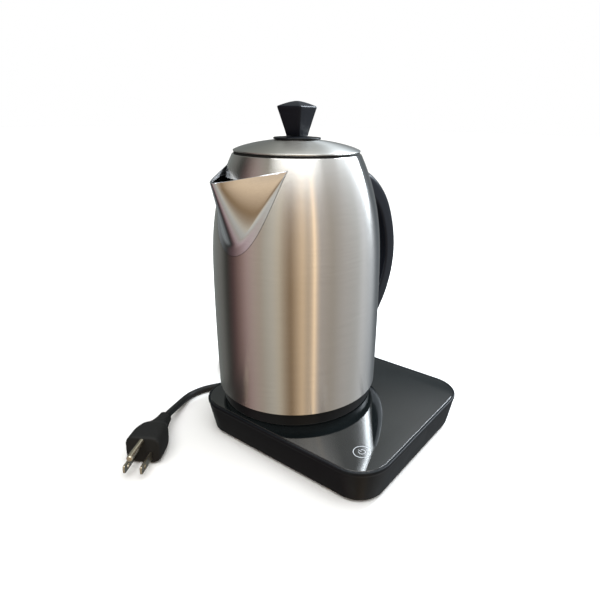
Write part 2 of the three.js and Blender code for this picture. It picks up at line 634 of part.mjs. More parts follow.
// The grip's section: round on the palm side, with a channel on the finger side.
const PALM_STEPS = 10;
const palm = Array.from({ length: PALM_STEPS + 1 }, (_, i) => {
  const angle = Math.PI + (i / PALM_STEPS) * Math.PI;
  const round = (v) => Math.sign(v) * Math.abs(v) ** 0.72;
  return [halfWidth * round(Math.cos(angle)), halfThickness * round(Math.sin(angle))];
});
const channelFloor = HANDLE_SKIN - halfThickness;
const gripSection = [
  ...palm, [halfWidth, halfThickness - 3], [halfWidth - 1.5, halfThickness],
  [halfChannel, halfThickness], [halfChannel, channelFloor],
  [-halfChannel, channelFloor], [-halfChannel, halfThickness],
  [1.5 - halfWidth, halfThickness], [-halfWidth, halfThickness - 3],
];
const flat = (width, low, high) => [[-width, low], [width, low], [width, high], [-width, high]];

// A frame on the handle's line: x across, y towards the fingers, z along the handle.
function onHandle(share) {
  const at = handleLine.getPointAt(share);
  const along = handleLine.getTangentAt(share);
  const across = new THREE.Vector3(0, -1, 0);
  const inward = new THREE.Vector3().crossVectors(along, across);
  return new THREE.Matrix4().makeBasis(across, inward, along).setPosition(at);
}

// A stretch of the handle's line.
function handleStretch(from, to) {
  const shares = Array.from({ length: 7 }, (_, i) => from + ((to - from) * i) / 6);
  return new THREE.CatmullRomCurve3(shares.map((share) => handleLine.getPointAt(share)));
}

const handleClear = shellSpace(GAP, SHELL_BOTTOM_Z, shellTopZ);
const SCREW_SHARE = { upper: 0.135, lower: 0.865 };

// A round bar across the handle at a share of its length, from one depth to another.
function handleRod(share, radius, low, high) {
  const geometry = new THREE.CylinderGeometry(radius, radius, high - low, 16);
  geometry.translate(0, (low + high) / 2, 0);
  return solid(geometry.applyMatrix4(onHandle(share)));
}

const HANDLE_STEPS = 22;
const grip = swept(gripSection, handleLine, HANDLE_STEPS).subtract(handleClear);
const coverLow = halfThickness - HANDLE_COVER;
const SCREW_HEAD_RADIUS = 2.6;
let cover = swept(flat(halfChannel - GAP, coverLow, halfThickness), handleLine, HANDLE_STEPS);
cover = cover.subtract(handleClear);
const bracketHalf = BRACKET_THICKNESS / 2;
for (const [end, share] of Object.entries(SCREW_SHARE)) {
  cover = cover.subtract(handleRod(share, SCREW_HEAD_RADIUS + GAP, coverLow - 2, halfThickness + 2));
  const stretch = end === 'upper' ? handleStretch(0, BRACKET_SHARE) : handleStretch(1 - BRACKET_SHARE, 1);
  const bracket = swept(flat(BRACKET_WIDTH / 2, -bracketHalf, bracketHalf), stretch, 8)
    .subtract(handleClear)
    .subtract(handleRod(share, HANDLE_SCREW_RADIUS + GAP, -5, 5));
  jug.add(piece(`handle_bracket_${end}`, bracket, STEEL_PLAIN));
  const shank = handleRod(share, HANDLE_SCREW_RADIUS, channelFloor + GAP, coverLow);
  const head = handleRod(share, SCREW_HEAD_RADIUS, coverLow - 0.5, coverLow + 1.5);
  jug.add(piece(`handle_screw_${end}`, shank.add(head), STEEL_PLAIN));
}
jug.add(piece('handle_grip', grip, PLASTIC));
jug.add(piece('handle_cover', cover, PLASTIC));

// ---------------------------------------------------------------- lid
const lid = new THREE.Group();
const lidRadius = SHELL_TOP_RADIUS - LID_SETBACK;
const sealZ = shellTopZ + GAP;
const lidRimZ = sealZ + SEAL_HEIGHT + GAP;
const domeFootZ = lidRimZ + LID_RIM_HEIGHT;
const domeTopZ = domeFootZ + LID_DOME_HEIGHT;
const screwHole = KNOB_SCREW_RADIUS + 0.4;

// The dome's skin, moved down by a distance.
function domeLine(inset, inner) {
  const radius = lidRadius - inset;
  const steps = 5;
  return Array.from({ length: steps + 1 }, (_, i) => {
    const r = radius + ((inner - radius) * i) / steps;
    const rise = LID_DOME_HEIGHT * (1 - (r / radius) ** 2) ** 0.8;
    return [r, domeFootZ - inset + rise];
  });
}
lid.add(piece('lid_dome', turned([
  [lidRadius - LID_WALL, lidRimZ], [lidRadius, lidRimZ], ...domeLine(0, screwHole),
  ...domeLine(LID_WALL, screwHole).reverse(),
], ROUND), STEEL));

const sealOuter = lidRadius - GAP;
const sealInner = sealOuter - SEAL_WIDTH;
lid.add(piece('lid_seal', ring(sealInner, sealOuter, sealZ, sealZ + SEAL_HEIGHT, ROUND), RUBBER));

const plugRadius = LID_OPENING_RADIUS - 2 * GAP;
const plugBottomZ = shellTopZ - LID_PLUG_DEPTH;
const plugFloorZ = plugBottomZ + LID_PLUG_WALL;
const postRadius = 6;
const postTopZ = domeTopZ - LID_WALL - 2 * GAP;
lid.add(piece('lid_inner', turned([
  [screwHole, plugBottomZ], [plugRadius - 1, plugBottomZ], [plugRadius, plugBottomZ + 1],
  [plugRadius, shellTopZ + 0.6], [plugRadius - LID_PLUG_WALL, shellTopZ + 0.6],
  [plugRadius - LID_PLUG_WALL, plugFloorZ], [postRadius, plugFloorZ], [postRadius, postTopZ],
  [screwHole, postTopZ],
], ROUND), PLASTIC));

const discZ = domeTopZ + GAP;
const discTopZ = discZ + KNOB_DISC_THICKNESS;
const discDrop = LID_DOME_HEIGHT * (1 - (1 - (KNOB_DISC_RADIUS / lidRadius) ** 2) ** 0.8);
lid.add(piece('knob_disc', turned([
  [screwHole, discZ], [KNOB_DISC_RADIUS, discZ - discDrop + GAP],
  [KNOB_DISC_RADIUS, discTopZ - discDrop + GAP],
  [KNOB_FOOT_RADIUS + 1, discTopZ], [screwHole, discTopZ],
], ROUND), PLASTIC));

const knobFootZ = discTopZ + GAP;
const knobCornerZ = knobFootZ + KNOB_HEIGHT;
const knobBody = turned([
  [0, knobFootZ], [KNOB_FOOT_RADIUS, knobFootZ], [KNOB_TOP_RADIUS, knobCornerZ - 1],
  [KNOB_TOP_RADIUS - 0.4, knobCornerZ], [0, knobCornerZ + KNOB_CROWN],
], 4);
const screwTopZ = knobFootZ + 13;
const knobBore = rod(screwHole, knobFootZ - 1, screwTopZ + 1, 16);
const knob = piece('lid_knob', knobBody.subtract(knobBore), PLASTIC);
knob.rotation.z = radians(KNOB_TURN);
lid.add(knob);
lid.add(piece('knob_screw', turned([
  [0, plugBottomZ - GAP - 2], [4, plugBottomZ - GAP - 2], [4, plugBottomZ - GAP],
  [KNOB_SCREW_RADIUS, plugBottomZ - GAP], [KNOB_SCREW_RADIUS, screwTopZ], [0, screwTopZ],
], 16), STEEL_PLAIN));
jug.add(lid);

// ---------------------------------------------------------------- mains cord
const mains = new THREE.Group();
const backY = BASE_Y + BASE_DEPTH / 2;
const outerWallLow = backY - leanAt(CORD_EXIT_Z + RELIEF_RADIUS);
const innerWallLow = backY - innerWallAt(CORD_EXIT_Z - 8);
const reliefStart = outerWallLow + GAP;
const reliefEnd = reliefStart + RELIEF_LENGTH;
const relief = turned([
  [0, innerWallLow - GAP - 2], [8, innerWallLow - GAP - 2], [8, innerWallLow - GAP],
  [RELIEF_NECK, innerWallLow - GAP], [RELIEF_NECK, reliefStart], [RELIEF_RADIUS, reliefStart],
  [RELIEF_RADIUS, reliefStart + 3], [RELIEF_TIP_RADIUS, reliefEnd], [0, reliefEnd],
]).rotate([-90, 0, 0]);
const reliefPiece = piece('strain_relief', relief, RUBBER);
reliefPiece.position.set(BASE_X, 0, CORD_EXIT_Z);
mains.add(reliefPiece);

// The coil's outer shape, two turns lying on each other, grown by a distance.
const COIL_LIFT = 0.2; // above the table
const COIL_CHAMFER = 1.8;
function coilSpace(grow) {
  const half = CORD_RADIUS + COIL_LIFT + grow;
  const inner = COIL_RADIUS - half;
  const outer = COIL_RADIUS + half;
  const low = COIL_LIFT - grow;
  const high = 2 * CORD_RADIUS * COIL_LAYERS + 2 * COIL_LIFT + grow;
  return turned([
    [inner, low + COIL_CHAMFER], [inner + COIL_CHAMFER, low], [outer - COIL_CHAMFER, low],
    [outer, low + COIL_CHAMFER], [outer, high - COIL_CHAMFER], [outer - COIL_CHAMFER, high],
    [inner + COIL_CHAMFER, high], [inner, high - COIL_CHAMFER],
  ], ROUND).translate([COIL_X, COIL_Y, 0]);
}

// A stretch of cord that stops where it meets the coil.
function cordStretch(points, steps) {
  const line = new THREE.CatmullRomCurve3(points.map((p) => new THREE.Vector3(...p)));
  return swept(circle(CORD_RADIUS, 8), line, steps).subtract(coilSpace(GAP));
}
mains.add(piece('cord_lead_in', cordStretch(CORD_TO_COIL, 10), RUBBER));
mains.add(piece('cord_lead_out', cordStretch(CORD_TO_PLUG, 18), RUBBER));
mains.add(piece('cord_coil', coilSpace(0), RUBBER));

// Grounded plug, lying on the table with its ground pin up.
const plug = new THREE.Group();
plug.position.set(PLUG_X, PLUG_Y, PLUG_Z);
plug.rotation.z = radians(PLUG_TURN);
const PLUG_LINE = [ // share of length, share of half width, share of half height
  [0, 0.35, 0.42], [0.14, 0.4, 0.48], [0.34, 0.55, 0.62], [0.52, 0.86, 0.88],
  [0.7, 0.97, 0.98], [0.94, 1, 1], [1, 0.94, 0.93],
];
const plugRings = PLUG_LINE.map(([along, wide, high]) => {
  const y = PLUG_HALF_WIDTH * wide;
  const z = PLUG_HALF_HEIGHT * high;
  return roundedRectangle(y, z, 0.6 * Math.min(y, z), along * PLUG_LENGTH, 3);
});
const plugUpright = new THREE.Matrix4().makeBasis(
  new THREE.Vector3(0, 1, 0),
  new THREE.Vector3(0, 0, 1),
  new THREE.Vector3(1, 0, 0),
);
plugRings.flat().forEach((p) => p.applyMatrix4(plugUpright));
plug.add(piece('plug_body', loft(plugRings), RUBBER));
const bladeX = PLUG_LENGTH + GAP + BLADE_LENGTH / 2;
for (const [name, side] of [['plug_blade_left', 1], ['plug_blade_right', -1]]) {
  const y = (side * BLADE_SPACING) / 2;
  const bladeSolid = block(bladeX, y, -BLADE_DROP, BLADE_LENGTH, PLUG_BLADE_THICKNESS, BLADE_WIDTH);
  plug.add(piece(name, bladeSolid, BRASS));
}
const groundPin = turned([
  [0, 0], [GROUND_PIN_RADIUS, 0], [GROUND_PIN_RADIUS, GROUND_PIN_LENGTH - 2], [1, GROUND_PIN_LENGTH],
  [0, GROUND_PIN_LENGTH],
], 16).rotate([0, 90, 0]);
plug.add(piece('plug_ground_pin', groundPin.translate([PLUG_LENGTH + GAP, 0, GROUND_PIN_RISE]), BRASS));
mains.add(plug);

// ---------------------------------------------------------------- whole kettle
// The origin is on the table under the middle of the base and jug together.
const kettle = new THREE.Group();
const device = new THREE.Group();
device.add(base, connector, turntable, jug);
kettle.add(device, mains);
kettle.updateMatrixWorld(true);
const middle = new THREE.Box3().setFromObject(device, true).getCenter(new THREE.Vector3());
kettle.position.set(-middle.x, -middle.y, 0);

export default kettle;
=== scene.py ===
"""Looks of a cordless electric kettle.

A brushed steel jug with a V-shaped spout, a black handle and a lift-off lid stands on a
touch-control power base with a black glass top. Everything is in metres in the frame of
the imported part: +Z up and the table at z = 0. The jug's pieces are written in the jug's
own frame, with the spout towards -X and the handle towards +X, and are then turned and
moved to the axis of the cordless connector.
"""
import logging
import math
from collections.abc import Iterable, Sequence
from dataclasses import dataclass
from enum import Enum
from functools import cache
from typing import Any

import bmesh
import bpy
from mathutils import Matrix, Vector


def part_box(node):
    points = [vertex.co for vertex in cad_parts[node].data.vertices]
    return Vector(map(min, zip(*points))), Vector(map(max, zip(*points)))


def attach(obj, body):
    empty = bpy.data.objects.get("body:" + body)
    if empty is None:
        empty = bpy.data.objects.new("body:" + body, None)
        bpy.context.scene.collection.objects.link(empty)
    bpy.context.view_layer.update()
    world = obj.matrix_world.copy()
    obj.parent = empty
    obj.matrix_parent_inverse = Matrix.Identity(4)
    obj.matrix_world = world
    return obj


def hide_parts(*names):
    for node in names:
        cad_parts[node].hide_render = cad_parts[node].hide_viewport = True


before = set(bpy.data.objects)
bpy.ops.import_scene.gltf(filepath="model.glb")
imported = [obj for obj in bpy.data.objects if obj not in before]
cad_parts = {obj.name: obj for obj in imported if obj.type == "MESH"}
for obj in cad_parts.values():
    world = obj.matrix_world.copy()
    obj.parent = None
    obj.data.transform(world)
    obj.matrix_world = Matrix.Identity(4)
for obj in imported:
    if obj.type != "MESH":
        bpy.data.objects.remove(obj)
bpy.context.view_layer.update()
LOG = logging.getLogger("kettle")

GAP = 0.0003  # clearance between pieces that touch
SIDES = 144  # sides of a large turned piece
SMALL_SIDES = 48  # sides of a small turned piece
JUG_TURN = math.radians(-4.5)  # the jug is turned a little on its base
SHARP = math.radians(38)  # edges sharper than this stay crisp

Point2 = tuple[float, float]
Point3 = tuple[float, float, float]
Socket = bpy.types.NodeSocket
Node = bpy.types.Node
Tree = bpy.types.NodeTree
Piece = bpy.types.Object


class Body(Enum):
    """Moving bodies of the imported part."""

    BASE = "base"
    TURNTABLE = "jug_connector"
    JUG = "jug"
    LID = "lid"


class Slot(Enum):
    """Material slots of the record."""

    BRUSHED_STEEL = "brushed_steel"
    PLAIN_STEEL = "plain_steel"
    ALUMINIUM = "aluminium"
    BLACK_PLASTIC = "black_plastic"
    HANDLE_PLASTIC = "handle_plastic"
    COMPONENT = "component_plastic"
    BOARD = "circuit_board"
    GLASS = "black_glass"
    BRASS = "brass_contacts"
    RUBBER = "rubber"
    CORD = "cord_sheath"


def below(node: str) -> Vector:
    """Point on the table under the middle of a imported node."""
    low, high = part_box(node)
    return Vector(((low.x + high.x) / 2, (low.y + high.y) / 2, 0.0))


AXIS = below("earth_pin")
JUG_PLACE = Matrix.Translation(AXIS) @ Matrix.Rotation(JUG_TURN, 4, "Z")


# ------------------------------------------------------------------ node graphs
def pick(sockets: Any, key: str | int) -> Socket:
    """Socket by number, or the enabled one of a name."""
    return sockets[key] if isinstance(key, int) else next(s for s in sockets if s.name == key and s.enabled)


class Graph:
    """Adds and joins the nodes of one tree."""

    def __init__(self, tree: Tree) -> None:
        """Keep the tree that the nodes are added to."""
        self.tree = tree

    def feed(self, node: Node, inputs: dict[str | int, Any]) -> Node:
        """Give a node's inputs their values.

        Args:
            node: The node.
            inputs: Values or sockets by the input's name or number.

        Returns:
            The same node.
        """
        for key, value in inputs.items():
            if isinstance(value, Socket):
                self.tree.links.new(value, pick(node.inputs, key))
            else:
                pick(node.inputs, key).default_value = value
        return node

    def add(self, kind: str, inputs: dict[str | int, Any] | None = None, **settings: Any) -> Node:
        """Add one node.

        Args:
            kind: The node's type.
            inputs: Values or sockets by the input's name or number.
            **settings: The node's own properties.

        Returns:
            The new node.
        """
        node = self.tree.nodes.new(kind)
        for key, value in settings.items():
            setattr(node, key, value)
        return self.feed(node, inputs or {})

    def get(self, kind: str, inputs: dict[str | int, Any] | None = None, output: str | int = 0,
            **settings: Any) -> Socket:
        """Output of a new node, with its inputs and settings as in add."""
        return pick(self.add(kind, inputs, **settings).outputs, output)

    def math(self, operation: str, a: Any, b: Any = 0.0, c: Any = 0.0) -> Socket:
        """Result of one Math node."""
        return self.get("ShaderNodeMath", {0: a, 1: b, 2: c}, operation=operation)

    def blend(self, factor: Any, *colors: Any) -> Socket:
        """Colour between two colours."""
        a, b = (color if isinstance(color, Socket) else (*color, 1.0) for color in colors)
        return self.get("ShaderNodeMix", {0: factor, 6: a, 7: b}, 2, data_type="RGBA")

    def span(self, value: Socket, ends: Point2, results: Sequence[Any] = (0.0, 1.0),
             soft: bool = True) -> Socket:
        """Map a value that goes from one end to the other.

        Args:
            value: The value.
            ends: Where it starts and ends.
            results: Results at the two ends.
            soft: Whether the change starts and stops softly.

        Returns:
            The mapped value.
        """
        inputs = {"Value": value, "From Min": ends[0], "From Max": ends[1], "To Min": results[0],
                  "To Max": results[1]}
        return self.get("ShaderNodeMapRange", inputs, interpolation_type="SMOOTHSTEP" if soft else "LINEAR")

    def place(self) -> Socket:
        """Object coordinates."""
        return self.get("ShaderNodeTexCoord", output="Object")

    def split(self, vector: Socket) -> Any:
        """X, Y and Z of a vector."""
        return self.add("ShaderNodeSeparateXYZ", {0: vector}).outputs

    def vector(self, x: Any = 0.0, y: Any = 0.0, z: Any = 0.0) -> Socket:
        """Vector of three values."""
        return self.get("ShaderNodeCombineXYZ", {0: x, 1: y, 2: z})

    def combine(self, operation: str, a: Any, b: Any = (0, 0, 0), output: int = 0) -> Socket:
        """Result of one Vector Math node."""
        return self.get("ShaderNodeVectorMath", {0: a, 1: b}, output, operation=operation)


class Group(Graph):
    """A node group with named inputs and outputs."""

    def __init__(self, name: str, kind: str, inputs: dict[str, tuple[str, Any]],
                 outputs: dict[str, str]) -> None:
        """Start the group.

        Args:
            name: The group's name.
            kind: Shader or Geometry.
            inputs: Socket type and default value by the input's name.
            outputs: Socket type by the output's name.
        """
        super().__init__(bpy.data.node_groups.new(name, f"{kind}NodeTree"))
        sockets = self.tree.interface
        for label, (socket_type, value) in inputs.items():
            socket = sockets.new_socket(label, in_out="INPUT", socket_type=f"NodeSocket{socket_type}")
            if value is not None:
                socket.default_value = value
        for label, socket_type in outputs.items():
            sockets.new_socket(label, in_out="OUTPUT", socket_type=f"NodeSocket{socket_type}")
        self.given = self.add("NodeGroupInput").outputs
        self.result = self.add("NodeGroupOutput")

    def done(self, results: dict[str, Socket]) -> Tree:
        """Join the results to the group's outputs, and give its tree."""
        self.feed(self.result, results)
        return self.tree

    def coated(self, geometry: Socket) -> Tree:
        """End a geometry group by setting its Finish on the shape."""
        coat_node = {"Geometry": geometry, "Material": self.given["Finish"]}
        return self.done({"Geometry": self.get("GeometryNodeSetMaterial", coat_node)})


# ------------------------------------------------------------------ shader groups
@cache
def grain_group() -> Tree:
    """Fine moulded grain.

    Returns:
        The group, which puts out a height and a speckle mask.
    """
    group = Group("fine_grain", "Shader", {"Scale": ("Float", 2200.0), "Softness": ("Float", 0.5)},
                  {"Height": "Float", "Speckle": "Float"})
    place, scale = group.place(), group.given["Scale"]
    noise = group.get("ShaderNodeTexNoise", {"Vector": place, "Scale": scale, "Detail": 3.0,
                                             "Roughness": group.given["Softness"]})
    cells = group.get("ShaderNodeTexVoronoi", {"Vector": place, "Scale": scale}, "Distance")
    return group.done({"Height": group.math("MULTIPLY_ADD", cells, 0.6, noise),
                       "Speckle": group.math("SMOOTH_MIN", noise, cells, 0.2)})


@cache
def smudge_group() -> Tree:
    """Broad, soft marks of handling.

    Returns:
        The group, which puts out a value between its low and high inputs.
    """
    group = Group("soft_smudges", "Shader", {
        "Scale": ("Float", 30.0), "Low": ("Float", 0.3), "High": ("Float", 0.4)}, {"Value": "Float"})
    broad = group.get("ShaderNodeTexNoise", {"Vector": group.place(), "Scale": group.given["Scale"],
                                             "Detail": 5.0, "Roughness": 0.62, "Distortion": 0.7})
    return group.done({"Value": group.span(broad, (0.32, 0.68), (group.given["Low"], group.given["High"]))})


@cache
def brushing_group() -> Tree:
    """Fine brushed lines that run round an upright axis.

    Returns:
        The group, which puts out a height, a tone between 0 and 1, and the line's direction.
    """
    group = Group("brushed_lines", "Shader",
                  {"Axis": ("Vector", None), "Density": ("Float", 1400.0), "Flow": ("Float", 3.0)},
                  {"Height": "Float", "Tone": "Float", "Direction": "Vector"})
    density = group.given["Density"]
    arm = group.combine("SUBTRACT", group.place(), group.given["Axis"])
    x, y, z = group.split(arm)
    flat = group.combine("MULTIPLY", arm, (1, 1, 0))
    reach = group.combine("LENGTH", flat, output=1)
    spun = group.vector(group.math("MULTIPLY", group.math("ARCTAN2", y, x), group.given["Flow"]),
                        group.math("MULTIPLY", z, density), group.math("MULTIPLY", reach, density))
    fine = group.get("ShaderNodeTexNoise", {"Vector": spun, "Scale": 1.0, "Detail": 4.0, "Roughness": 0.7})
    return group.done({"Height": fine, "Tone": group.span(fine, (0.3, 0.7), soft=False),
                       "Direction": group.combine("CROSS_PRODUCT", (0, 0, 1), flat)})


# ------------------------------------------------------------------ finishes
class Surface(Graph):
    """A material's graph with its Principled shader."""

    def __init__(self, name: str) -> None:
        """Start the material.

        Args:
            name: The material's name.
        """
        self.material = bpy.data.materials.new(name)
        self.material.use_nodes = True
        self.material.node_tree.nodes.clear()
        super().__init__(self.material.node_tree)
        self.shader = self.add("ShaderNodeBsdfPrincipled")
        self.add("ShaderNodeOutputMaterial", {"Surface": self.shader.outputs[0]})

    def dress(self, inputs: dict[str | int, Any]) -> None:
        """Give the shader's inputs their values or patterns."""
        self.feed(self.shader, inputs)

    def group(self, tree: Tree, output: str, **inputs: float) -> Socket:
        """Output of a shader group with its own values."""
        return self.get("ShaderNodeGroup", inputs, output, node_tree=tree)

    def smudge(self, middle: float, spread: float, scale: float) -> None:
        """Vary the roughness with soft smudges.

        Args:
            middle: The middle roughness.
            spread: How far it rises and falls.
            scale: Smudges per metre.
        """
        marks = self.group(smudge_group(), "Value", Scale=scale, Low=middle - spread, High=middle + spread)
        self.dress({"Roughness": marks})

    def emboss(self, height: Socket, depth: float) -> None:
        """Raise a height as a bump of a depth in metres."""
        bump = {"Strength": 1.0, "Distance": depth, "Height": height}
        self.dress({"Normal": self.get("ShaderNodeBump", bump)})


@dataclass(frozen=True)
class Finish:
    """A surface finish: its colour, gloss and the slot of the record that it stands for."""

    name: str
    slot: Slot
    color: Point3
    roughness: float

    @cache
    def material(self) -> bpy.types.Material:
        """Material of this finish, built the first time it is asked for.

        Returns:
            The material.
        """
        surface = Surface(self.name)
        self.pattern(surface)
        return surface.material

    def pattern(self, surface: Surface) -> None:
        """Dress the finish's surface."""
        raise NotImplementedError

    def tone(self, lightness: float) -> Point3:
        """The colour made lighter or darker."""
        return tuple(lightness * part for part in self.color)


@dataclass(frozen=True)
class BrushedSteel(Finish):
    """Steel brushed round the jug's axis, so that reflections draw out up and down."""

    density: float = 1400.0
    depth: float = 0.0000005
    stretch: float = 1.0
    contrast: float = 0.035

    def pattern(self, surface: Surface) -> None:
        """Brushed lines, drawn-out gloss and soft smudges.

        Args:
            surface: The surface to dress.
        """
        lines = surface.add("ShaderNodeGroup", {"Axis": AXIS, "Density": self.density},
                            node_tree=brushing_group()).outputs
        tone = surface.blend(lines["Tone"], self.tone(1 - self.contrast), self.tone(1 + self.contrast))
        surface.dress({"Base Color": tone, "Metallic": 1.0, "Anisotropic": self.stretch,
                       "Anisotropic Rotation": 0.25, "Tangent": lines["Direction"]})
        surface.smudge(self.roughness, 0.006, 18.0)
        surface.emboss(lines["Height"], self.depth)


@dataclass(frozen=True)
class Moulded(Finish):
    """Moulded plastic or rubber with a fine grain."""

    grain: float = 2200.0
    depth: float = 0.00001
    gloss: float = 0.5

    def pattern(self, surface: Surface) -> None:
        """Fine grain, smudges and a slight change of tone.

        Args:
            surface: The surface to dress.
        """
        skin = surface.add("ShaderNodeGroup", {"Scale": self.grain}, node_tree=grain_group()).outputs
        light = [part + 0.002 for part in self.tone(1.25)]
        surface.dress({"Base Color": surface.blend(skin["Speckle"], self.color, light),
                       "Specular IOR Level": self.gloss})
        surface.smudge(self.roughness, 0.05, 40.0)
        surface.emboss(skin["Height"], self.depth)


@dataclass(frozen=True)
class Glossy(Finish):
    """Polished glass with a trace of wiping marks."""

    def pattern(self, surface: Surface) -> None:
        """Wiping marks in the gloss and the tone.

        Args:
            surface: The surface to dress.
        """
        marks = surface.group(smudge_group(), "Value", Scale=9.0, Low=0.0, High=1.0)
        surface.dress({"Base Color": surface.blend(marks, self.color, self.tone(1.5)), "IOR": 1.75})
        surface.smudge(self.roughness, 0.02, 25.0)


@dataclass(frozen=True)
class BareMetal(Finish):
    """Pressed or turned metal with a fine tooth and a little tarnish."""

    def pattern(self, surface: Surface) -> None:
        """Tooth, tarnish and smudges.

        Args:
            surface: The surface to dress.
        """
        stain = surface.group(smudge_group(), "Value", Scale=120.0, Low=0.0, High=1.0)
        surface.dress({"Base Color": surface.blend(stain, self.tone(0.8), self.color), "Metallic": 1.0})
        surface.smudge(self.roughness, 0.06, 60.0)
        surface.emboss(surface.group(grain_group(), "Height", Scale=3000.0), 0.000004)


STEEL = BrushedSteel("brushed_steel_body", Slot.BRUSHED_STEEL, (0.62, 0.61, 0.59), 0.22)
# Lighter, bluer copy of the body's brushed steel: painted light on the spout, standing in for its brighter
# reflections. Its lower roughness and stretch are its own finish.
SPOUT_STEEL_PAINTED_LIGHT = BrushedSteel("brushed_steel_spout", Slot.BRUSHED_STEEL, (0.72, 0.76, 0.83), 0.16, stretch=0.7)
# Darker copy of the body's brushed steel: painted shade over the whole lid dome. Its higher roughness is its
# own finish.
LID_STEEL_PAINTED_SHADE = BrushedSteel("brushed_steel_lid", Slot.BRUSHED_STEEL, (0.53, 0.53, 0.51), 0.34, stretch=0.7)
PLAIN_STEEL = BareMetal("bare_steel", Slot.PLAIN_STEEL, (0.52, 0.52, 0.51), 0.34)
ALUMINIUM = BareMetal("spreader_aluminium", Slot.ALUMINIUM, (0.68, 0.69, 0.7), 0.42)
BRASS = BareMetal("contact_brass", Slot.BRASS, (0.72, 0.53, 0.25), 0.3)
PRONG_METAL = BareMetal("prong_nickel_brass", Slot.BRASS, (0.62, 0.56, 0.44), 0.26)
BLACK_PLASTIC = Moulded("moulded_black", Slot.BLACK_PLASTIC, (0.0040, 0.0055, 0.0075), 0.36, gloss=0.18)
HANDLE_PLASTIC = Moulded("moulded_handle_black", Slot.HANDLE_PLASTIC, (0.0038, 0.0056, 0.0105), 0.34,
                         gloss=0.2)
COMPONENT = Moulded("component_case", Slot.COMPONENT, (0.03, 0.08, 0.24), 0.45)
BOARD = Moulded("board_laminate", Slot.BOARD, (0.012, 0.11, 0.045), 0.5, grain=900.0)
GLASS = Glossy("polished_black_glass", Slot.GLASS, (0.0042, 0.0056, 0.0061), 0.045)
RUBBER = Moulded("soft_rubber", Slot.RUBBER, (0.006, 0.0065, 0.0066), 0.66, grain=1500.0, depth=0.00002,
                 gloss=0.3)
CORD_SHEATH = Moulded("cord_skin", Slot.CORD, (0.006, 0.0065, 0.007), 0.46, grain=1200.0, gloss=0.3)
KEY_PRINT = Moulded("key_print", Slot.GLASS, (0.40, 0.42, 0.44), 0.4, depth=0.000001)


# ------------------------------------------------------------------ lines and outlines
def rounded(corners: Sequence[Point3], steps: int = 5, closed: bool = True) -> list[Point2]:
    """Outline whose corners are rounded.

    Args:
        corners: X, Y and setback of each corner, where 0 keeps it sharp.
        steps: Stretches of each rounded corner.
        closed: Whether the outline closes on itself.

    Returns:
        The points of the outline.
    """
    made: list[Point2] = []
    count = len(corners)
    for i, (x, y, setback) in enumerate(corners):
        at = Vector((x, y))
        if setback == 0 or (not closed and i in (0, count - 1)):
            made.append((x, y))
            continue
        arms = []
        for other in (corners[i - 1], corners[(i + 1) % count]):
            arm = Vector(other[:2]) - at
            arms.append(at + arm.normalized() * min(setback, 0.49 * arm.length))
        for k in range(steps + 1):
            made.append(tuple(bend(arms[0], at, arms[1], k / steps)))
    return made


def bend(start: Vector, corner: Vector, end: Vector, t: float) -> Vector:
    """Point of the curve that rounds a corner, at a share t of it."""
    return (1 - t) ** 2 * start + 2 * t * (1 - t) * corner + t * t * end


def rounded_rectangle(half_x: float, half_y: float, corner: float, z: float, steps: int = 14) -> list[Vector]:
    """Rounded rectangle at one height.

    Args:
        half_x: Half of its width.
        half_y: Half of its depth.
        corner: Radius of its corners.
        z: Its height.
        steps: Stretches of each corner.

    Returns:
        Its points, in turn.
    """
    made = []
    for quarter, (sx, sy) in enumerate(((1, 1), (-1, 1), (-1, -1), (1, -1))):
        for k in range(steps + 1):
            angle = (quarter + k / steps) * math.pi / 2
            made.append(Vector((sx * (half_x - corner) + corner * math.cos(angle),
                                sy * (half_y - corner) + corner * math.sin(angle), z)))
    return made


class SmoothLine:
    """A smooth line through points, measured along its length."""

    def __init__(self, points: Sequence[Point3], steps: int = 24) -> None:
        """Work out the line.

        Args:
            points: The points that it passes through.
            steps: Short stretches between two points.
        """
        given = [Vector(p) for p in points]
        ends = [2 * given[0] - given[1], *given, 2 * given[-1] - given[-2]]
        self.points = [self.between(ends[i:i + 4], k / steps)
                       for i in range(len(given) - 1) for k in range(steps)]
        self.points.append(given[-1])
        self.length = [0.0]
        for a, b in zip(self.points, self.points[1:]):
            self.length.append(self.length[-1] + (b - a).length)

    @staticmethod
    def between(four: list[Vector], t: float) -> Vector:
        """Point of a centripetal Catmull-Rom line.

        Args:
            four: Four points in a row.
            t: Share of the way from the second to the third.

        Returns:
            The point.
        """
        knots = [0.0]
        for a, b in zip(four, four[1:]):
            knots.append(knots[-1] + max((b - a).length ** 0.5, 1e-6))
        at = knots[1] + t * (knots[2] - knots[1])
        level = four
        for first, reach in ((0, 1), (0, 2), (1, 1)):
            level = [a.lerp(b, (at - knots[i]) / (knots[i + reach] - knots[i]))
                     for i, (a, b) in enumerate(zip(level, level[1:]), first)]
        return level[0]

    def at(self, share: float) -> tuple[Vector, Vector]:
        """Point and direction at a share of the length.

        Args:
            share: From 0 at the start to 1 at the end.

        Returns:
            The point and the unit direction.
        """
        want, last = share * self.length[-1], len(self.length) - 1
        i = next((k for k in range(1, last + 1) if self.length[k] >= want), last)
        part = (want - self.length[i - 1]) / max(self.length[i] - self.length[i - 1], 1e-9)
        before, after = self.points[max(i - 2, 0)], self.points[min(i + 1, last)]
        return self.points[i - 1].lerp(self.points[i], part), (after - before).normalized()


# ------------------------------------------------------------------ meshes
def new_mesh(name: str, points: Iterable[Sequence[float]],
             faces: Sequence[Sequence[int]] = ()) -> bpy.types.Mesh:
    """Mesh from points and faces."""
    mesh = bpy.data.meshes.new(name)
    mesh.from_pydata([tuple(p) for p in points], [], faces)
    return mesh


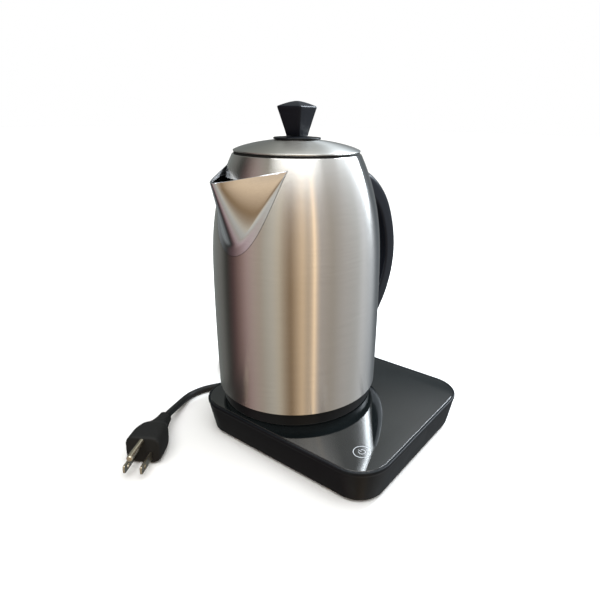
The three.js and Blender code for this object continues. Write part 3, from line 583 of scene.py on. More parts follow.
def new_object(name: str, data: Any, place: Matrix | None = None) -> Piece:
    """Object linked to the scene.

    Args:
        name: The object's name.
        data: Its mesh, curve, lamp or camera.
        place: Where it goes, or nothing for the origin.

    Returns:
        The new object.
    """
    made = bpy.data.objects.new(name, data)
    if place is not None:
        made.matrix_world = place
    bpy.context.scene.collection.objects.link(made)
    return made


def face_out(mesh: bpy.types.Mesh) -> None:
    """Merge doubles, turn a closed mesh's faces outwards and shade it smooth between crisp edges.

    Args:
        mesh: The mesh to put right.
    """
    work = bmesh.new()
    work.from_mesh(mesh)
    bmesh.ops.remove_doubles(work, verts=work.verts, dist=1e-6)
    bmesh.ops.dissolve_degenerate(work, edges=work.edges, dist=1e-7)
    if work.calc_volume(signed=True) < 0:
        bmesh.ops.reverse_faces(work, faces=work.faces)
    for face in work.faces:
        face.smooth = True
    work.to_mesh(mesh)
    work.free()
    mesh.set_sharp_from_angle(angle=SHARP)


def lofted(name: str, rings: Sequence[Sequence[Vector]], looped: bool = False,
           place: Matrix = JUG_PLACE) -> Piece:
    """Closed skin through rings of points.

    Args:
        name: The object's name.
        rings: Rings with the same number of points.
        looped: Whether the last ring joins the first; otherwise the ends are capped.
        place: Where the mesh goes.

    Returns:
        The new object.
    """
    count, rows = len(rings[0]), len(rings)
    faces: list[list[int]] = []
    for i in range(rows if looped else rows - 1):
        low, high = i * count, ((i + 1) % rows) * count
        for j in range(count):
            k = (j + 1) % count
            faces.append([low + j, low + k, high + k, high + j])
    if not looped:
        faces += [list(reversed(range(count))), list(range((rows - 1) * count, rows * count))]
    mesh = new_mesh(name, [p for ring in rings for p in ring], faces)
    mesh.transform(place)
    face_out(mesh)
    return new_object(name, mesh)


def plain(piece: Piece) -> Piece:
    """Replace a piece's mesh with the result of its modifiers, and remove them.

    Args:
        piece: The object with modifiers.

    Returns:
        The same object.
    """
    graph = bpy.context.evaluated_depsgraph_get()
    result = bpy.data.meshes.new_from_object(piece.evaluated_get(graph), preserve_all_data_layers=True,
                                             depsgraph=graph)
    piece.modifiers.clear()
    piece.data = result
    return piece


def cut(piece: Piece, cutter: Piece) -> Piece:
    """Cut one solid with another, which is then removed.

    Args:
        piece: The solid that stays.
        cutter: The solid that cuts it.

    Returns:
        The cut piece.
    """
    tool = piece.modifiers.new("cut", "BOOLEAN")
    tool.operation = "DIFFERENCE"
    tool.solver = "EXACT"
    tool.object = cutter
    plain(piece)
    bpy.data.objects.remove(cutter)
    face_out(piece.data)
    return piece


def run_tree(name: str, tree: Tree, start: bpy.types.Mesh, inputs: dict[str, Any], place: Matrix) -> Piece:
    """Build a piece with Geometry Nodes and keep it as a plain mesh.

    Args:
        name: The piece's name.
        tree: The node tree.
        start: The mesh that goes into it.
        inputs: Values by the input's name.
        place: Where the result goes.

    Returns:
        The new object.
    """
    made = new_object(name, start)
    nodes = made.modifiers.new("nodes", "NODES")
    nodes.node_group = tree
    for item in tree.interface.items_tree:
        if item.item_type == "SOCKET" and item.in_out == "INPUT" and item.name in inputs:
            nodes[item.identifier] = inputs[item.name]
    plain(made)
    made.data.transform(place)
    face_out(made.data)
    return made


# ------------------------------------------------------------------ geometry trees
@cache
def turning_tree() -> Tree:
    """Tree that turns a profile round the Z axis.

    Returns:
        The tree. Its profile is a row of vertices at (radius, 0, height).
    """
    group = Group("turned_piece", "Geometry", {
        "Profile": ("Geometry", None), "Sides": ("Int", SIDES), "Finish": ("Material", None)},
        {"Geometry": "Geometry"})
    profile, sides = group.given["Profile"], group.given["Sides"]
    count = group.get("GeometryNodeAttributeDomainSize", {"Geometry": profile}, "Point Count",
                      component="MESH")
    grid = group.add("GeometryNodeMeshGrid", {
        "Size X": 1.0, "Size Y": 1.0, "Vertices X": count,
        "Vertices Y": group.math("ADD", sides, 1.0)}).outputs
    named = group.get("GeometryNodeStoreNamedAttribute", {
        "Geometry": grid["Mesh"], "Name": "UVMap", "Value": grid["UV Map"]},
        data_type="FLOAT2", domain="CORNER")
    x, y, _ = group.split(group.get("GeometryNodeInputPosition"))
    last = group.math("SUBTRACT", count, 1.0)
    row = group.math("ROUND", group.math("MULTIPLY", group.math("ADD", x, 0.5), last))
    point = group.get("GeometryNodeSampleIndex", {
        "Geometry": profile, "Index": row, "Value": group.get("GeometryNodeInputPosition")}, "Value",
        data_type="FLOAT_VECTOR", domain="POINT")
    radius, _, height = group.split(point)
    angle = group.math("MULTIPLY", group.math("ADD", y, 0.5), math.tau)
    spot = group.vector(group.math("MULTIPLY", radius, group.math("COSINE", angle)),
                        group.math("MULTIPLY", radius, group.math("SINE", angle)), height)
    moved = group.get("GeometryNodeSetPosition", {"Geometry": named, "Position": spot})
    return group.coated(group.get("GeometryNodeMergeByDistance", {"Geometry": moved, "Distance": 1e-6}))


@cache
def scatter_tree() -> Tree:
    """Tree that sets a copy of a part on each vertex.

    Returns:
        The tree.
    """
    group = Group("repeated_part", "Geometry", {
        "Places": ("Geometry", None), "Part": ("Object", None), "Finish": ("Material", None)},
        {"Geometry": "Geometry"})
    part = group.get("GeometryNodeObjectInfo", {"Object": group.given["Part"]}, "Geometry")
    copies = group.get("GeometryNodeInstanceOnPoints", {"Points": group.given["Places"], "Instance": part})
    return group.coated(group.get("GeometryNodeRealizeInstances", {"Geometry": copies}))


@cache
def rib_tree() -> Tree:
    """Tree that lays round ribs along a tapering sleeve.

    Returns:
        The tree. The sleeve runs along Z from 0.
    """
    group = Group("sleeve_ribs", "Geometry", {
        "Geometry": ("Geometry", None), "Count": ("Int", 7), "First": ("Float", 0.005),
        "Spacing": ("Float", 0.0035), "Wide Radius": ("Float", 0.006), "Narrow Radius": ("Float", 0.0045),
        "Bead": ("Float", 0.0006), "Finish": ("Material", None)}, {"Geometry": "Geometry"})
    given = group.given
    count, wide, narrow = given["Count"], given["Wide Radius"], given["Narrow Radius"]
    first, step = group.vector(z=given["First"]), group.vector(z=given["Spacing"])
    line = group.get("GeometryNodeMeshLine", {"Count": count, "Start Location": first, "Offset": step})
    share = group.math("DIVIDE", group.get("GeometryNodeInputIndex"), group.math("SUBTRACT", count, 1.0))
    radius = group.math("MULTIPLY_ADD", share, group.math("SUBTRACT", narrow, wide), wide)
    hoop = group.get("GeometryNodeCurvePrimitiveCircle", {"Resolution": 40, "Radius": 1.0})
    hoops = group.get("GeometryNodeInstanceOnPoints", {"Points": line, "Instance": hoop, "Scale": radius})
    real = group.get("GeometryNodeRealizeInstances", {"Geometry": hoops})
    bead = group.get("GeometryNodeCurvePrimitiveCircle", {"Resolution": 12, "Radius": given["Bead"]})
    return group.coated(group.get("GeometryNodeCurveToMesh", {"Curve": real, "Profile Curve": bead}))


def turned(name: str, profile: Sequence[Point2], finish: Finish, sides: int = SIDES,
           place: Matrix = JUG_PLACE, closed: bool = True) -> Piece:
    """Turned piece from a profile of radius and height.

    Args:
        name: The piece's name.
        profile: Radius and height of each point.
        finish: Its finish.
        sides: Steps round the axis.
        place: Where it goes.
        closed: Whether the profile closes on itself; otherwise both ends are on the axis.

    Returns:
        The new object.
    """
    points = [(r, 0.0, z) for r, z in profile]
    mesh = new_mesh(name, points + points[:1] if closed else points)
    return run_tree(name, turning_tree(), mesh, {"Sides": sides, "Finish": finish.material()}, place)


def bored(piece: Piece, radius: float, low: float, high: float, finish: Finish, sides: int = SMALL_SIDES,
          place: Matrix = JUG_PLACE) -> Piece:
    """Piece with a round hole.

    Args:
        piece: The solid piece.
        radius: The hole's radius.
        low: Where the hole starts on its own axis.
        high: Where it ends.
        finish: Finish of the hole's wall.
        sides: Steps round the hole.
        place: Where the hole's axis goes.

    Returns:
        The same piece.
    """
    profile = [(0.0, low), (radius, low), (radius, high), (0.0, high)]
    return cut(piece, turned("drill", profile, finish, sides, place, closed=False))


def repeated(name: str, part: Piece, nodes: Sequence[str], finish: Finish) -> Piece:
    """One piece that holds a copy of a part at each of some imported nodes.

    Args:
        name: The piece's name.
        part: The part, built round the origin, which is then removed.
        nodes: The nodes that it stands for.
        finish: Its finish.

    Returns:
        The piece, settled on the base.
    """
    mesh = new_mesh(name, [below(node) for node in nodes])
    made = run_tree(name, scatter_tree(), mesh, {"Part": part, "Finish": finish.material()}, Matrix())
    bpy.data.objects.remove(part)
    return settle(made, Body.BASE, finish, *nodes)


def settle(piece: Piece, body: Body, finish: Finish, *nodes: str) -> Piece:
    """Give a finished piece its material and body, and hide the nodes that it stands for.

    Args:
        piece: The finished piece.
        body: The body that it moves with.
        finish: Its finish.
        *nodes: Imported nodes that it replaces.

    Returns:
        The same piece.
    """
    piece.data.materials.clear()
    piece.data.materials.append(finish.material())
    if nodes:
        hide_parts(*nodes)
    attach(piece, body.value)
    LOG.info("%s rides on %s", piece.name, body.value)
    return piece


def turned_out(name: str, corners: Sequence[Point3], body: Body, finish: Finish, node: str,
               sides: int = SIDES, place: Matrix = JUG_PLACE, closed: bool = True, steps: int = 5) -> Piece:
    """Turned piece from the corners of its profile, settled on its body.

    Args:
        name: The piece's name.
        corners: Radius, height and rounding of each corner.
        body: The body that it moves with.
        finish: Its finish.
        node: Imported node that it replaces.
        sides: Steps round the axis.
        place: Where it goes.
        closed: Whether the profile closes on itself; otherwise both ends are on the axis.
        steps: Stretches of each rounded corner.

    Returns:
        The finished piece.
    """
    made = turned(name, rounded(corners, steps, closed), finish, sides, place, closed)
    return settle(made, body, finish, node)


def coat(finish: Finish, *names: str) -> list[Piece]:
    """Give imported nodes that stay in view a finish.

    Args:
        finish: The finish.
        *names: The nodes.

    Returns:
        The nodes' objects.
    """
    nodes = [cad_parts[name] for name in names]
    for node in nodes:
        if not node.material_slots:
            node.data.materials.append(None)
        for place in node.material_slots:
            place.material = finish.material()
        LOG.info("%s is coated with %s", node.name, finish.name)
    return nodes


# ------------------------------------------------------------------ studio
@dataclass
class Studio:
    """Camera, pale floor and soft light. Places are from the jug's axis."""

    camera_place: Point3 = (-0.3080, -0.2627, 0.2600)
    heading: float = math.radians(36.05)  # from +X towards +Y
    tilt: float = math.radians(-14.61)
    roll: float = math.radians(-0.98)
    lens: float = 30.53
    shift: Point2 = (-0.059, -0.091)
    floor_size: float = 7.0
    floor_drop: float = 0.0002
    floor_bounce: Point3 = (0.30, 0.30, 0.29)  # what the floor throws back at the kettle
    # Walls of the studio: turn from the camera's heading in degrees, and tint.
    walls: tuple[tuple[float, Point3], ...] = (
        (-180, (0.22, 0.23, 0.23)), (-148, (0.25, 0.27, 0.26)), (-119, (0.20, 0.20, 0.19)),
        (-102, (0.04, 0.04, 0.035)), (-89, (0.12, 0.07, 0.07)), (-76, (0.33, 0.22, 0.20)),
        (-65, (0.52, 0.38, 0.36)), (-56, (0.56, 0.45, 0.40)), (-46, (0.54, 0.46, 0.38)),
        (-38, (0.58, 0.54, 0.46)), (-29, (0.66, 0.61, 0.52)), (-21, (0.68, 0.59, 0.45)),
        (-13, (0.44, 0.33, 0.22)), (-5, (0.28, 0.17, 0.08)), (3, (0.58, 0.41, 0.25)),
        (11, (0.92, 0.67, 0.42)), (19, (0.62, 0.48, 0.34)), (24, (0.90, 0.68, 0.46)),
        (27, (1.90, 1.40, 0.90)), (30, (0.90, 0.72, 0.55)), (35, (0.56, 0.50, 0.45)),
        (44, (0.52, 0.46, 0.40)), (52, (0.48, 0.43, 0.37)), (71, (0.61, 0.58, 0.55)),
        (93, (0.60, 0.60, 0.58)), (105, (0.74, 0.75, 0.76)), (121, (0.48, 0.50, 0.52)),
        (144, (0.14, 0.16, 0.18)), (180, (0.22, 0.23, 0.23)))
    ceiling_left: Point3 = (0.36, 0.37, 0.34)
    ceiling_right: Point3 = (1.14, 1.18, 1.20)
    ceiling_ends: Point2 = (0.42, 0.68)  # where the walls turn into the ceiling
    ceiling_across: Point2 = (-0.12, 0.4)
    sink_ends: Point2 = (-0.55, -0.25)  # the walls darken a little towards the floor
    sink_low: float = 0.8
    softbox_place: Point3 = (0.62, -0.22, 0.62)
    softbox_aim: Point3 = (0.0, 0.0, 0.13)
    softbox_size: Point2 = (0.16, 0.62)
    softbox_power: float = 11.0  # watts
    softbox_tint: Point3 = (0.84, 0.92, 1.0)
    sky_lean: float = math.radians(20)
    sky_spread: float = math.radians(60)
    sky_power: float = 2.4  # watts per square metre

    def build(self) -> None:
        """Set up the camera, floor, surroundings and lamps."""
        self.set_camera()
        self.set_floor()
        self.set_surroundings()
        self.add_softbox()
        self.add_sky()

    def set_camera(self) -> None:
        """Camera on the user's left of the kettle, a little above it."""
        ahead = Vector((math.cos(self.heading) * math.cos(self.tilt),
                        math.sin(self.heading) * math.cos(self.tilt), math.sin(self.tilt)))
        level = ahead.cross(Vector((0, 0, 1))).normalized()
        right = Matrix.Rotation(self.roll, 3, ahead) @ level
        lens = bpy.data.cameras.new("camera")
        lens.lens, lens.sensor_width = self.lens, 36.0
        lens.shift_x, lens.shift_y = self.shift
        lens.clip_start, lens.clip_end = 0.01, 50.0
        turn = Matrix((right, right.cross(ahead), -ahead)).transposed().to_4x4()
        place = Matrix.Translation(AXIS + Vector(self.camera_place)) @ turn
        bpy.context.scene.camera = new_object("camera", lens, place)

    def set_floor(self) -> None:
        """Pale floor with a trace of mottling."""
        half, low = self.floor_size, -self.floor_drop
        corners = [(-half, -half, low), (half, -half, low), (half, half, low), (-half, half, low)]
        floor = new_object("floor", new_mesh("floor", corners, [(0, 1, 2, 3)]))
        surface = Surface("pale_floor")
        mottle = surface.get("ShaderNodeTexNoise", {"Vector": surface.place(), "Scale": 6.0, "Detail": 4.0})
        pale = surface.blend(mottle, (0.93, 0.93, 0.93), (0.96, 0.96, 0.955))
        seen = surface.get("ShaderNodeLightPath", output="Is Camera Ray")
        surface.dress({"Base Color": surface.blend(seen, self.floor_bounce, pale), "Roughness": 0.7,
                       "Specular IOR Level": 0.2})
        floor.data.materials.append(surface.material)
        floor.visible_glossy = False

    def set_surroundings(self) -> None:
        """Studio walls of soft panels, a bright ceiling and a white backdrop."""
        world = bpy.data.worlds.new("studio")
        world.use_nodes = True
        world.node_tree.nodes.clear()
        bpy.context.scene.world = world
        graph = Graph(world.node_tree)
        x, y, z = graph.split(graph.get("ShaderNodeTexCoord"))
        away = self.heading + math.pi
        level = Vector((math.cos(away), math.sin(away)))
        ahead = graph.math("ADD", graph.math("MULTIPLY", x, level.x), graph.math("MULTIPLY", y, level.y))
        aside = graph.math("SUBTRACT", graph.math("MULTIPLY", y, level.x), graph.math("MULTIPLY", x, level.y))
        share = graph.math("MULTIPLY_ADD", graph.math("ARCTAN2", aside, ahead), 1 / math.tau, 0.5)
        ramp = graph.add("ShaderNodeValToRGB", {0: share})
        stops = ramp.color_ramp.elements
        stops.remove(stops[-1])
        for i, (turn, tint) in enumerate(self.walls):
            stop = stops[0] if i == 0 else stops.new(turn / 360 + 0.5)
            stop.position = turn / 360 + 0.5
            stop.color = (*tint, 1.0)
        above = graph.blend(graph.span(aside, self.ceiling_across), self.ceiling_left, self.ceiling_right)
        sink = graph.span(z, self.sink_ends, (self.sink_low, 1.0), soft=False)
        ring = graph.blend(sink, (0.0, 0.0, 0.0), ramp.outputs[0])
        tint = graph.blend(graph.span(z, self.ceiling_ends), ring, above)
        seen = graph.get("ShaderNodeLightPath", output="Is Camera Ray")
        shown = graph.blend(seen, tint, (1.0, 1.0, 1.0))
        glow = graph.get("ShaderNodeBackground", {"Color": shown, "Strength": 1.0})
        graph.add("ShaderNodeOutputWorld", {"Surface": glow})
        bpy.context.scene.view_settings.view_transform = "Standard"

    def add_softbox(self) -> None:
        """Soft lamp behind and to the right, which faces the jug."""
        lamp = bpy.data.lights.new("softbox_right", "AREA")
        lamp.shape = "RECTANGLE"
        lamp.size, lamp.size_y = self.softbox_size
        lamp.energy, lamp.color = self.softbox_power, self.softbox_tint
        at = AXIS + Vector(self.softbox_place)
        facing = (AXIS + Vector(self.softbox_aim) - at).to_track_quat("-Z", "Y").to_matrix().to_4x4()
        new_object("softbox_right", lamp, Matrix.Translation(at) @ facing).visible_camera = False

    def add_sky(self) -> None:
        """Broad light from above, so wide that its shadows are soft."""
        lamp = bpy.data.lights.new("broad_light", "SUN")
        lamp.angle, lamp.energy = self.sky_spread, self.sky_power
        new_object("broad_light", lamp,
                   Matrix.Rotation(self.heading, 4, "Z") @ Matrix.Rotation(-self.sky_lean, 4, "Y"))


# ------------------------------------------------------------------ mains cord
@dataclass
class MainsCord:
    """Mains cord with its strain relief and grounded plug. Places are from the jug's axis."""

    radius: float = 0.0029
    length: float = 0.65
    exit: Point3 = (0.009, 0.0856, 0.015)
    to_coil: tuple[Point3, ...] = (
        (0.0092, 0.0950, 0.0140), (0.0115, 0.1050, 0.0090), (0.0170, 0.1160, 0.0046),
        (0.0260, 0.1265, 0.0031), (0.0390, 0.1345, 0.0031), (0.0540, 0.1396, 0.0031),
        (0.0680, 0.1418, 0.0031))
    coil_middle: Point2 = (0.084, 0.104)
    coil_radius: float = 0.0379
    coil_low: float = 0.0031
    coil_high: float = 0.0090
    coil_degrees: int = 540
    coil_step: int = 20
    to_plug: tuple[Point3, ...] = (
        (0.0720, 0.0660, 0.0085), (0.0580, 0.0664, 0.0060), (0.0440, 0.0670, 0.0038),
        (0.0300, 0.0680, 0.0031), (0.0170, 0.0707, 0.0031), (0.0030, 0.0753, 0.0031),
        (-0.0095, 0.0812, 0.0031), (-0.0210, 0.0880, 0.0031), (-0.0276, 0.0913, 0.0031),
        (-0.0344, 0.0932, 0.0031), (-0.0422, 0.0935, 0.0034), (-0.0512, 0.0911, 0.0043),
        (-0.0618, 0.0858, 0.0060), (-0.0725, 0.0797, 0.0083), (-0.0806, 0.0747, 0.0104),
        (-0.0861, 0.0713, 0.0113))
    relief_foot: float = 0.0538  # where the relief leaves the wall
    relief_tip: float = 0.0858
    relief_collar: float = 0.003
    relief_wide: float = 0.0064
    relief_narrow: float = 0.0039
    rib_count: int = 7
    rib_start: float = 0.005
    rib_spacing: float = 0.0034
    rib_bead: float = 0.0006
    plug_place: Point3 = (-0.0866, 0.0710, 0.0114)
    plug_turn: float = math.radians(212)
    plug_length: float = 0.044
    plug_half_width: float = 0.0138
    plug_half_height: float = 0.0111
    plug_waist: tuple[Point3, ...] = (  # shares of the length, the half width and the half height
        (0, 0.33, 0.40), (0.14, 0.38, 0.46), (0.34, 0.53, 0.60), (0.52, 0.84, 0.86),
        (0.7, 0.96, 0.97), (0.95, 0.985, 0.985))
    plug_nose: tuple[Point3, ...] = ((0.975, 0.965, 0.96), (0.992, 0.93, 0.92), (0.9995, 0.88, 0.86))
    ridges: Point2 = (0.03, 0.33)  # stretch of the plug that has grip ridges
    ridge_pitch: float = 0.06
    ridge_depth: float = 0.05
    prong_length: float = 0.0175
    prong_width: float = 0.0063
    prong_thickness: float = 0.0015
    prong_spacing: float = 0.0127
    prong_drop: float = 0.004
    prong_tip: float = 0.0016
    prong_hole: float = 0.0016
    hole_place: float = 0.0118
    pin_radius: float = 0.0024
    pin_length: float = 0.0205
    pin_rise: float = 0.0078

    def build(self) -> None:
        self.plug_frame = (Matrix.Translation(AXIS + Vector(self.plug_place))
                           @ Matrix.Rotation(self.plug_turn, 4, "Z"))
        with_pieces = [*self.relief(), self.plug_body(), *self.prongs(), self.ground_pin()]
        self.route()
        tuple(AXIS + Vector(self.exit))

    def coil(self) -> list[Point3]:
        """Points of the coil, a turn and a half, clockwise from above.

        Returns:
            Its points, from the side away from the base.
        """
        made = []
        for turned_by in range(0, self.coil_degrees + 1, self.coil_step):
            angle = math.radians(90 - turned_by)
            climb = min(max((turned_by - 180) / 180, 0.0), 1.0)
            height = self.coil_low + (self.coil_high - self.coil_low) * climb * climb * (3 - 2 * climb)
            made.append((self.coil_middle[0] + self.coil_radius * math.cos(angle),
                         self.coil_middle[1] + self.coil_radius * math.sin(angle), height))
        return made

    def route(self) -> Piece:
        """The cord itself, one smooth spline.

        Returns:
            The cord's curve.
        """
        points = [self.exit, *self.to_coil, *self.coil(), *self.to_plug]
        curve = bpy.data.curves.new("mains_cord", "CURVE")
        curve.dimensions = "3D"
        curve.bevel_depth = self.radius
        curve.bevel_resolution, curve.resolution_u = 6, 8
        curve.use_fill_caps = True
        spline = curve.splines.new("BEZIER")
        spline.bezier_points.add(len(points) - 1)
        for knot, place in zip(spline.bezier_points, points):
            knot.co = AXIS + Vector(place)
            knot.handle_left_type = knot.handle_right_type = "AUTO"
        return settle(new_object("mains_cord", curve), Body.BASE, CORD_SHEATH,
                      "cord_lead_in", "cord_coil", "cord_lead_out")

    def relief(self) -> list[Piece]:
        """Tapered strain relief and its ribs.

        Returns:
            The relief and the ribs.
        """
        low, high, collar = self.relief_foot, self.relief_tip, self.relief_foot + self.relief_collar
        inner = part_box("strain_relief")[0].y - AXIS.y
        place = (Matrix.Translation(AXIS + Vector((self.exit[0], 0.0, self.exit[2])))
                 @ Matrix.Rotation(-math.pi / 2, 4, "X"))
        body = turned_out("strain_relief_sleeve", [
            (0.0, inner, 0), (0.008, inner, 0.0004), (0.008, inner + 0.002, 0.0002),
            (0.005, inner + 0.002, 0), (0.005, low, 0), (self.relief_wide, low, 0.0004),
            (self.relief_wide, collar, 0.0015),
            (self.relief_narrow, high, 0.0006), (self.radius, high, 0), (0.0, high - 0.001, 0)],
            Body.BASE, RUBBER, "strain_relief", SMALL_SIDES, place, closed=False)
        taper = (self.relief_wide - self.relief_narrow) / (high - collar)
        wide = self.relief_wide - taper * (self.rib_start - self.relief_collar)
        ribs = run_tree("strain_relief_ribs", rib_tree(), bpy.data.meshes.new("strain_relief_ribs"), {
            "Count": self.rib_count, "First": low + self.rib_start, "Spacing": self.rib_spacing,
            "Wide Radius": wide, "Narrow Radius": wide - taper * self.rib_spacing * (self.rib_count - 1),
            "Bead": self.rib_bead, "Finish": RUBBER.material()}, place)
        return [body, settle(ribs, Body.BASE, RUBBER)]

    def plug_body(self) -> Piece:
        """Moulded plug with a waist, grip ridges and a soft outline.

        Returns:
            The plug's body.
        """
        rings = []
        start, end = self.ridges
        for along, wide, high in (*SmoothLine(self.plug_waist, 10).points, *self.plug_nose):
            ridge = 1.0
            if start < along < end:
                wave = math.cos(math.tau * (along - start) / self.ridge_pitch)
                ridge = 1.0 - self.ridge_depth * (0.5 - 0.5 * wave)
            y, z = self.plug_half_width * wide * ridge, self.plug_half_height * high * ridge
            flat = rounded_rectangle(y, z, 0.62 * min(y, z), along * self.plug_length, 6)
            rings.append([Vector((p.z, p.x, p.y)) for p in flat])
        return settle(lofted("plug_moulding", rings, place=self.plug_frame), Body.BASE, RUBBER, "plug_body")

    def prongs(self) -> list[Piece]:
        """Two flat prongs with rounded tips and a hole.

        Returns:
            The prongs.
        """
        made = []
        start, half, thick = self.plug_length + GAP, self.prong_width / 2, self.prong_thickness / 2
        tip = start + self.prong_length
        outline = rounded([(start, -half, 0), (tip, -half, self.prong_tip), (tip, half, self.prong_tip),
                           (start, half, 0)], 6)
        for side, sign in (("left", 1), ("right", -1)):
            middle = sign * self.prong_spacing / 2
            rings = [[Vector((x, middle + dy * thick, z * shrink - self.prong_drop)) for x, z in outline]
                     for dy, shrink in ((-1, 0.94), (-0.8, 1.0), (0.8, 1.0), (1, 0.94))]
            prong = lofted(f"plug_prong_{side}", rings, place=self.plug_frame)
            hole = Matrix.Translation((start + self.hole_place, middle, -self.prong_drop))
            bored(prong, self.prong_hole, -0.003, 0.003, BRASS, 24,
                  self.plug_frame @ hole @ Matrix.Rotation(math.pi / 2, 4, "X"))
            made.append(settle(prong, Body.BASE, PRONG_METAL, f"plug_blade_{side}"))
        return made

    def ground_pin(self) -> Piece:
        """Round ground pin with a domed tip.

        Returns:
            The pin.
        """
        top = self.pin_length
        place = (self.plug_frame @ Matrix.Translation((self.plug_length + GAP, 0.0, self.pin_rise))
                 @ Matrix.Rotation(math.pi / 2, 4, "Y"))
        return turned_out("plug_pin", [
            (0.0, 0.0, 0), (self.pin_radius, 0.0, 0), (self.pin_radius, top, 0.0022), (0.0, top, 0)],
            Body.BASE, PRONG_METAL, "plug_ground_pin", SMALL_SIDES, place, closed=False, steps=8)


# ------------------------------------------------------------------ power base
@dataclass
class PowerBase:
    """Power base: housing, glass top with a touch key, feet, screws and connector."""

    corner: float = 0.026
    bezel: float = 0.002
    draft: float = 0.0056
    wall: float = 0.0025
    ledge: float = 0.004
    ledge_thickness: float = 0.0022
    rim_height: float = 0.0036
    rim_lean: float = 0.0006
    outlet_radius: float = 0.0053
    outlet_place: Point3 = (0.009, 0.05, 0.015)  # from the jug's axis
    glass_thickness: float = 0.003
    polish: float = 0.0004
    key_place: Point3 = (-0.0436, -0.0966, 0.0)  # from the jug's axis
    key_radius: float = 0.0065
    key_line: float = 0.0005
    sign_radius: float = 0.0024
    sign_line: float = 0.00042
    sign_bar: Point2 = (0.0006, 0.0036)
    print_low: float = 0.00001
    print_high: float = 0.00006
    plinth_radius: float = 0.0215
    plinth_flange: float = 0.002
    slot_inner: float = 0.0095
    slot_outer: float = 0.0145
    slot_depth: float = 0.0085
    pin_radius: float = 0.0033
    shank_radius: float = 0.0016
    recess: Point2 = (0.0017, 0.00035)

    def __post_init__(self) -> None:
        """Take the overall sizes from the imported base."""
        low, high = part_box("base_housing")
        self.half_x, self.half_y = (high.x - low.x) / 2, (high.y - low.y) / 2
        self.bottom, self.top = low.z, high.z
        self.place = Matrix.Translation(below("base_housing"))

    def build(self) -> None:
        """Make all the pieces of the base."""
        outer = [self.housing(), self.glass()]
        self.touch_key()
        self.feet()
        self.screws()
        outer += self.connector()
        outer += coat(BLACK_PLASTIC, "base_bottom_cover", "terminal_block", "buzzer")
        outer += coat(COMPONENT, "relay", "filter_capacitor")
        outer += coat(BOARD, "control_board", "touch_board")
        outer += coat(BRASS, "touch_electrode")
        for piece in outer:  # or the base's black would darken the foot of the steel jug
            piece.visible_glossy = False

    def outline(self, inset: float, z: float) -> list[Vector]:
        """Outline of the base moved in by a distance."""
        return rounded_rectangle(self.half_x - inset, self.half_y - inset, max(self.corner - inset, 0.002), z)

    def housing(self) -> Piece:
        """Side walls with a slim bezel and a ledge under the glass.

        Returns:
            The housing.
        """
        rim, shelf = self.top - self.rim_height, self.top - self.glass_thickness - GAP
        inside, under = self.bezel + self.ledge, shelf - self.ledge_thickness
        skin = rounded([
            (self.draft, self.bottom, 0.0006), (self.rim_lean, rim, 0.001), (0.0, rim + 0.0016, 0.0006),
            (0.0, self.top, 0.0009), (self.bezel, self.top, 0.0003), (self.bezel, shelf, 0),
            (inside, shelf, 0), (inside, under, 0), (self.rim_lean + self.wall, under, 0),
            (self.draft + self.wall, self.bottom, 0)])
        body = lofted("base_body", [self.outline(*station) for station in skin], True, self.place)
        outlet = Matrix.Translation(AXIS + Vector(self.outlet_place)) @ Matrix.Rotation(-math.pi / 2, 4, "X")
        bored(body, self.outlet_radius, -0.02, 0.02, BLACK_PLASTIC, place=outlet)
        return settle(body, Body.BASE, BLACK_PLASTIC, "base_housing")

    def glass(self) -> Piece:
        """Black glass plate with a polished edge and a hole for the plinth.

        Returns:
            The plate.
        """
        edge = self.bezel + GAP
        stations = [(edge, self.top - self.glass_thickness), (edge, self.top - self.polish)]
        for degrees in (22, 45, 68, 90):
            a = math.radians(degrees)
            stations.append((edge + self.polish * (1 - math.cos(a)),
                             self.top - self.polish * (1 - math.sin(a))))
        plate = lofted("glass_plate", [self.outline(*station) for station in stations], place=self.place)
        bored(plate, self.plinth_radius + GAP, 0.0, 0.06, BLACK_PLASTIC, 96)
        return settle(plate, Body.BASE, GLASS, "glass_top")

    def printed(self, name: str, lines: Iterable[tuple[Vector, Vector]], looped: bool = False) -> None:
        """Thin print on the glass.

        Args:
            name: The piece's name.
            lines: Inner and outer point of each crossing line, from the key's middle.
            looped: Whether the last line joins the first.
        """
        low, high = (Vector((0, 0, self.top + rise)) for rise in (self.print_low, self.print_high))
        rings = [[a + low, b + low, b + high, a + high] for a, b in lines]
        at = Matrix.Translation(AXIS + Vector(self.key_place)) @ Matrix.Rotation(JUG_TURN, 4, "Z")
        settle(lofted(name, rings, looped, at), Body.BASE, KEY_PRINT)

    def band(self, inner: float, outer: float, start: float, end: float,
             steps: int) -> list[tuple[Vector, Vector]]:
        """Crossing lines of a flat band round the key's middle.

        Args:
            inner: Inner radius.
            outer: Outer radius.
            start: First angle in degrees.
            end: Last angle in degrees.
            steps: Stretches of the band.

        Returns:
            Inner and outer point of each line.
        """
        angles = [math.radians(start + (end - start) * k / steps) for k in range(steps + 1)]
        ways = [Vector((math.cos(angle), math.sin(angle), 0)) for angle in angles]
        return [(way * inner, way * outer) for way in ways]

    def touch_key(self) -> None:
        """Printed ring of the touch key with a plain power sign inside."""
        half = self.sign_line / 2
        ring = self.band(self.key_radius - self.key_line, self.key_radius, 0, 360, 64)
        self.printed("key_ring", ring[:-1], looped=True)
        arc = self.band(self.sign_radius - half, self.sign_radius + half, 125, 415, 40)
        self.printed("key_sign_arc", arc)
        start, end = self.sign_bar
        self.printed("key_sign_bar", [(Vector((x, start, 0)), Vector((x, end, 0))) for x in (-half, half)])

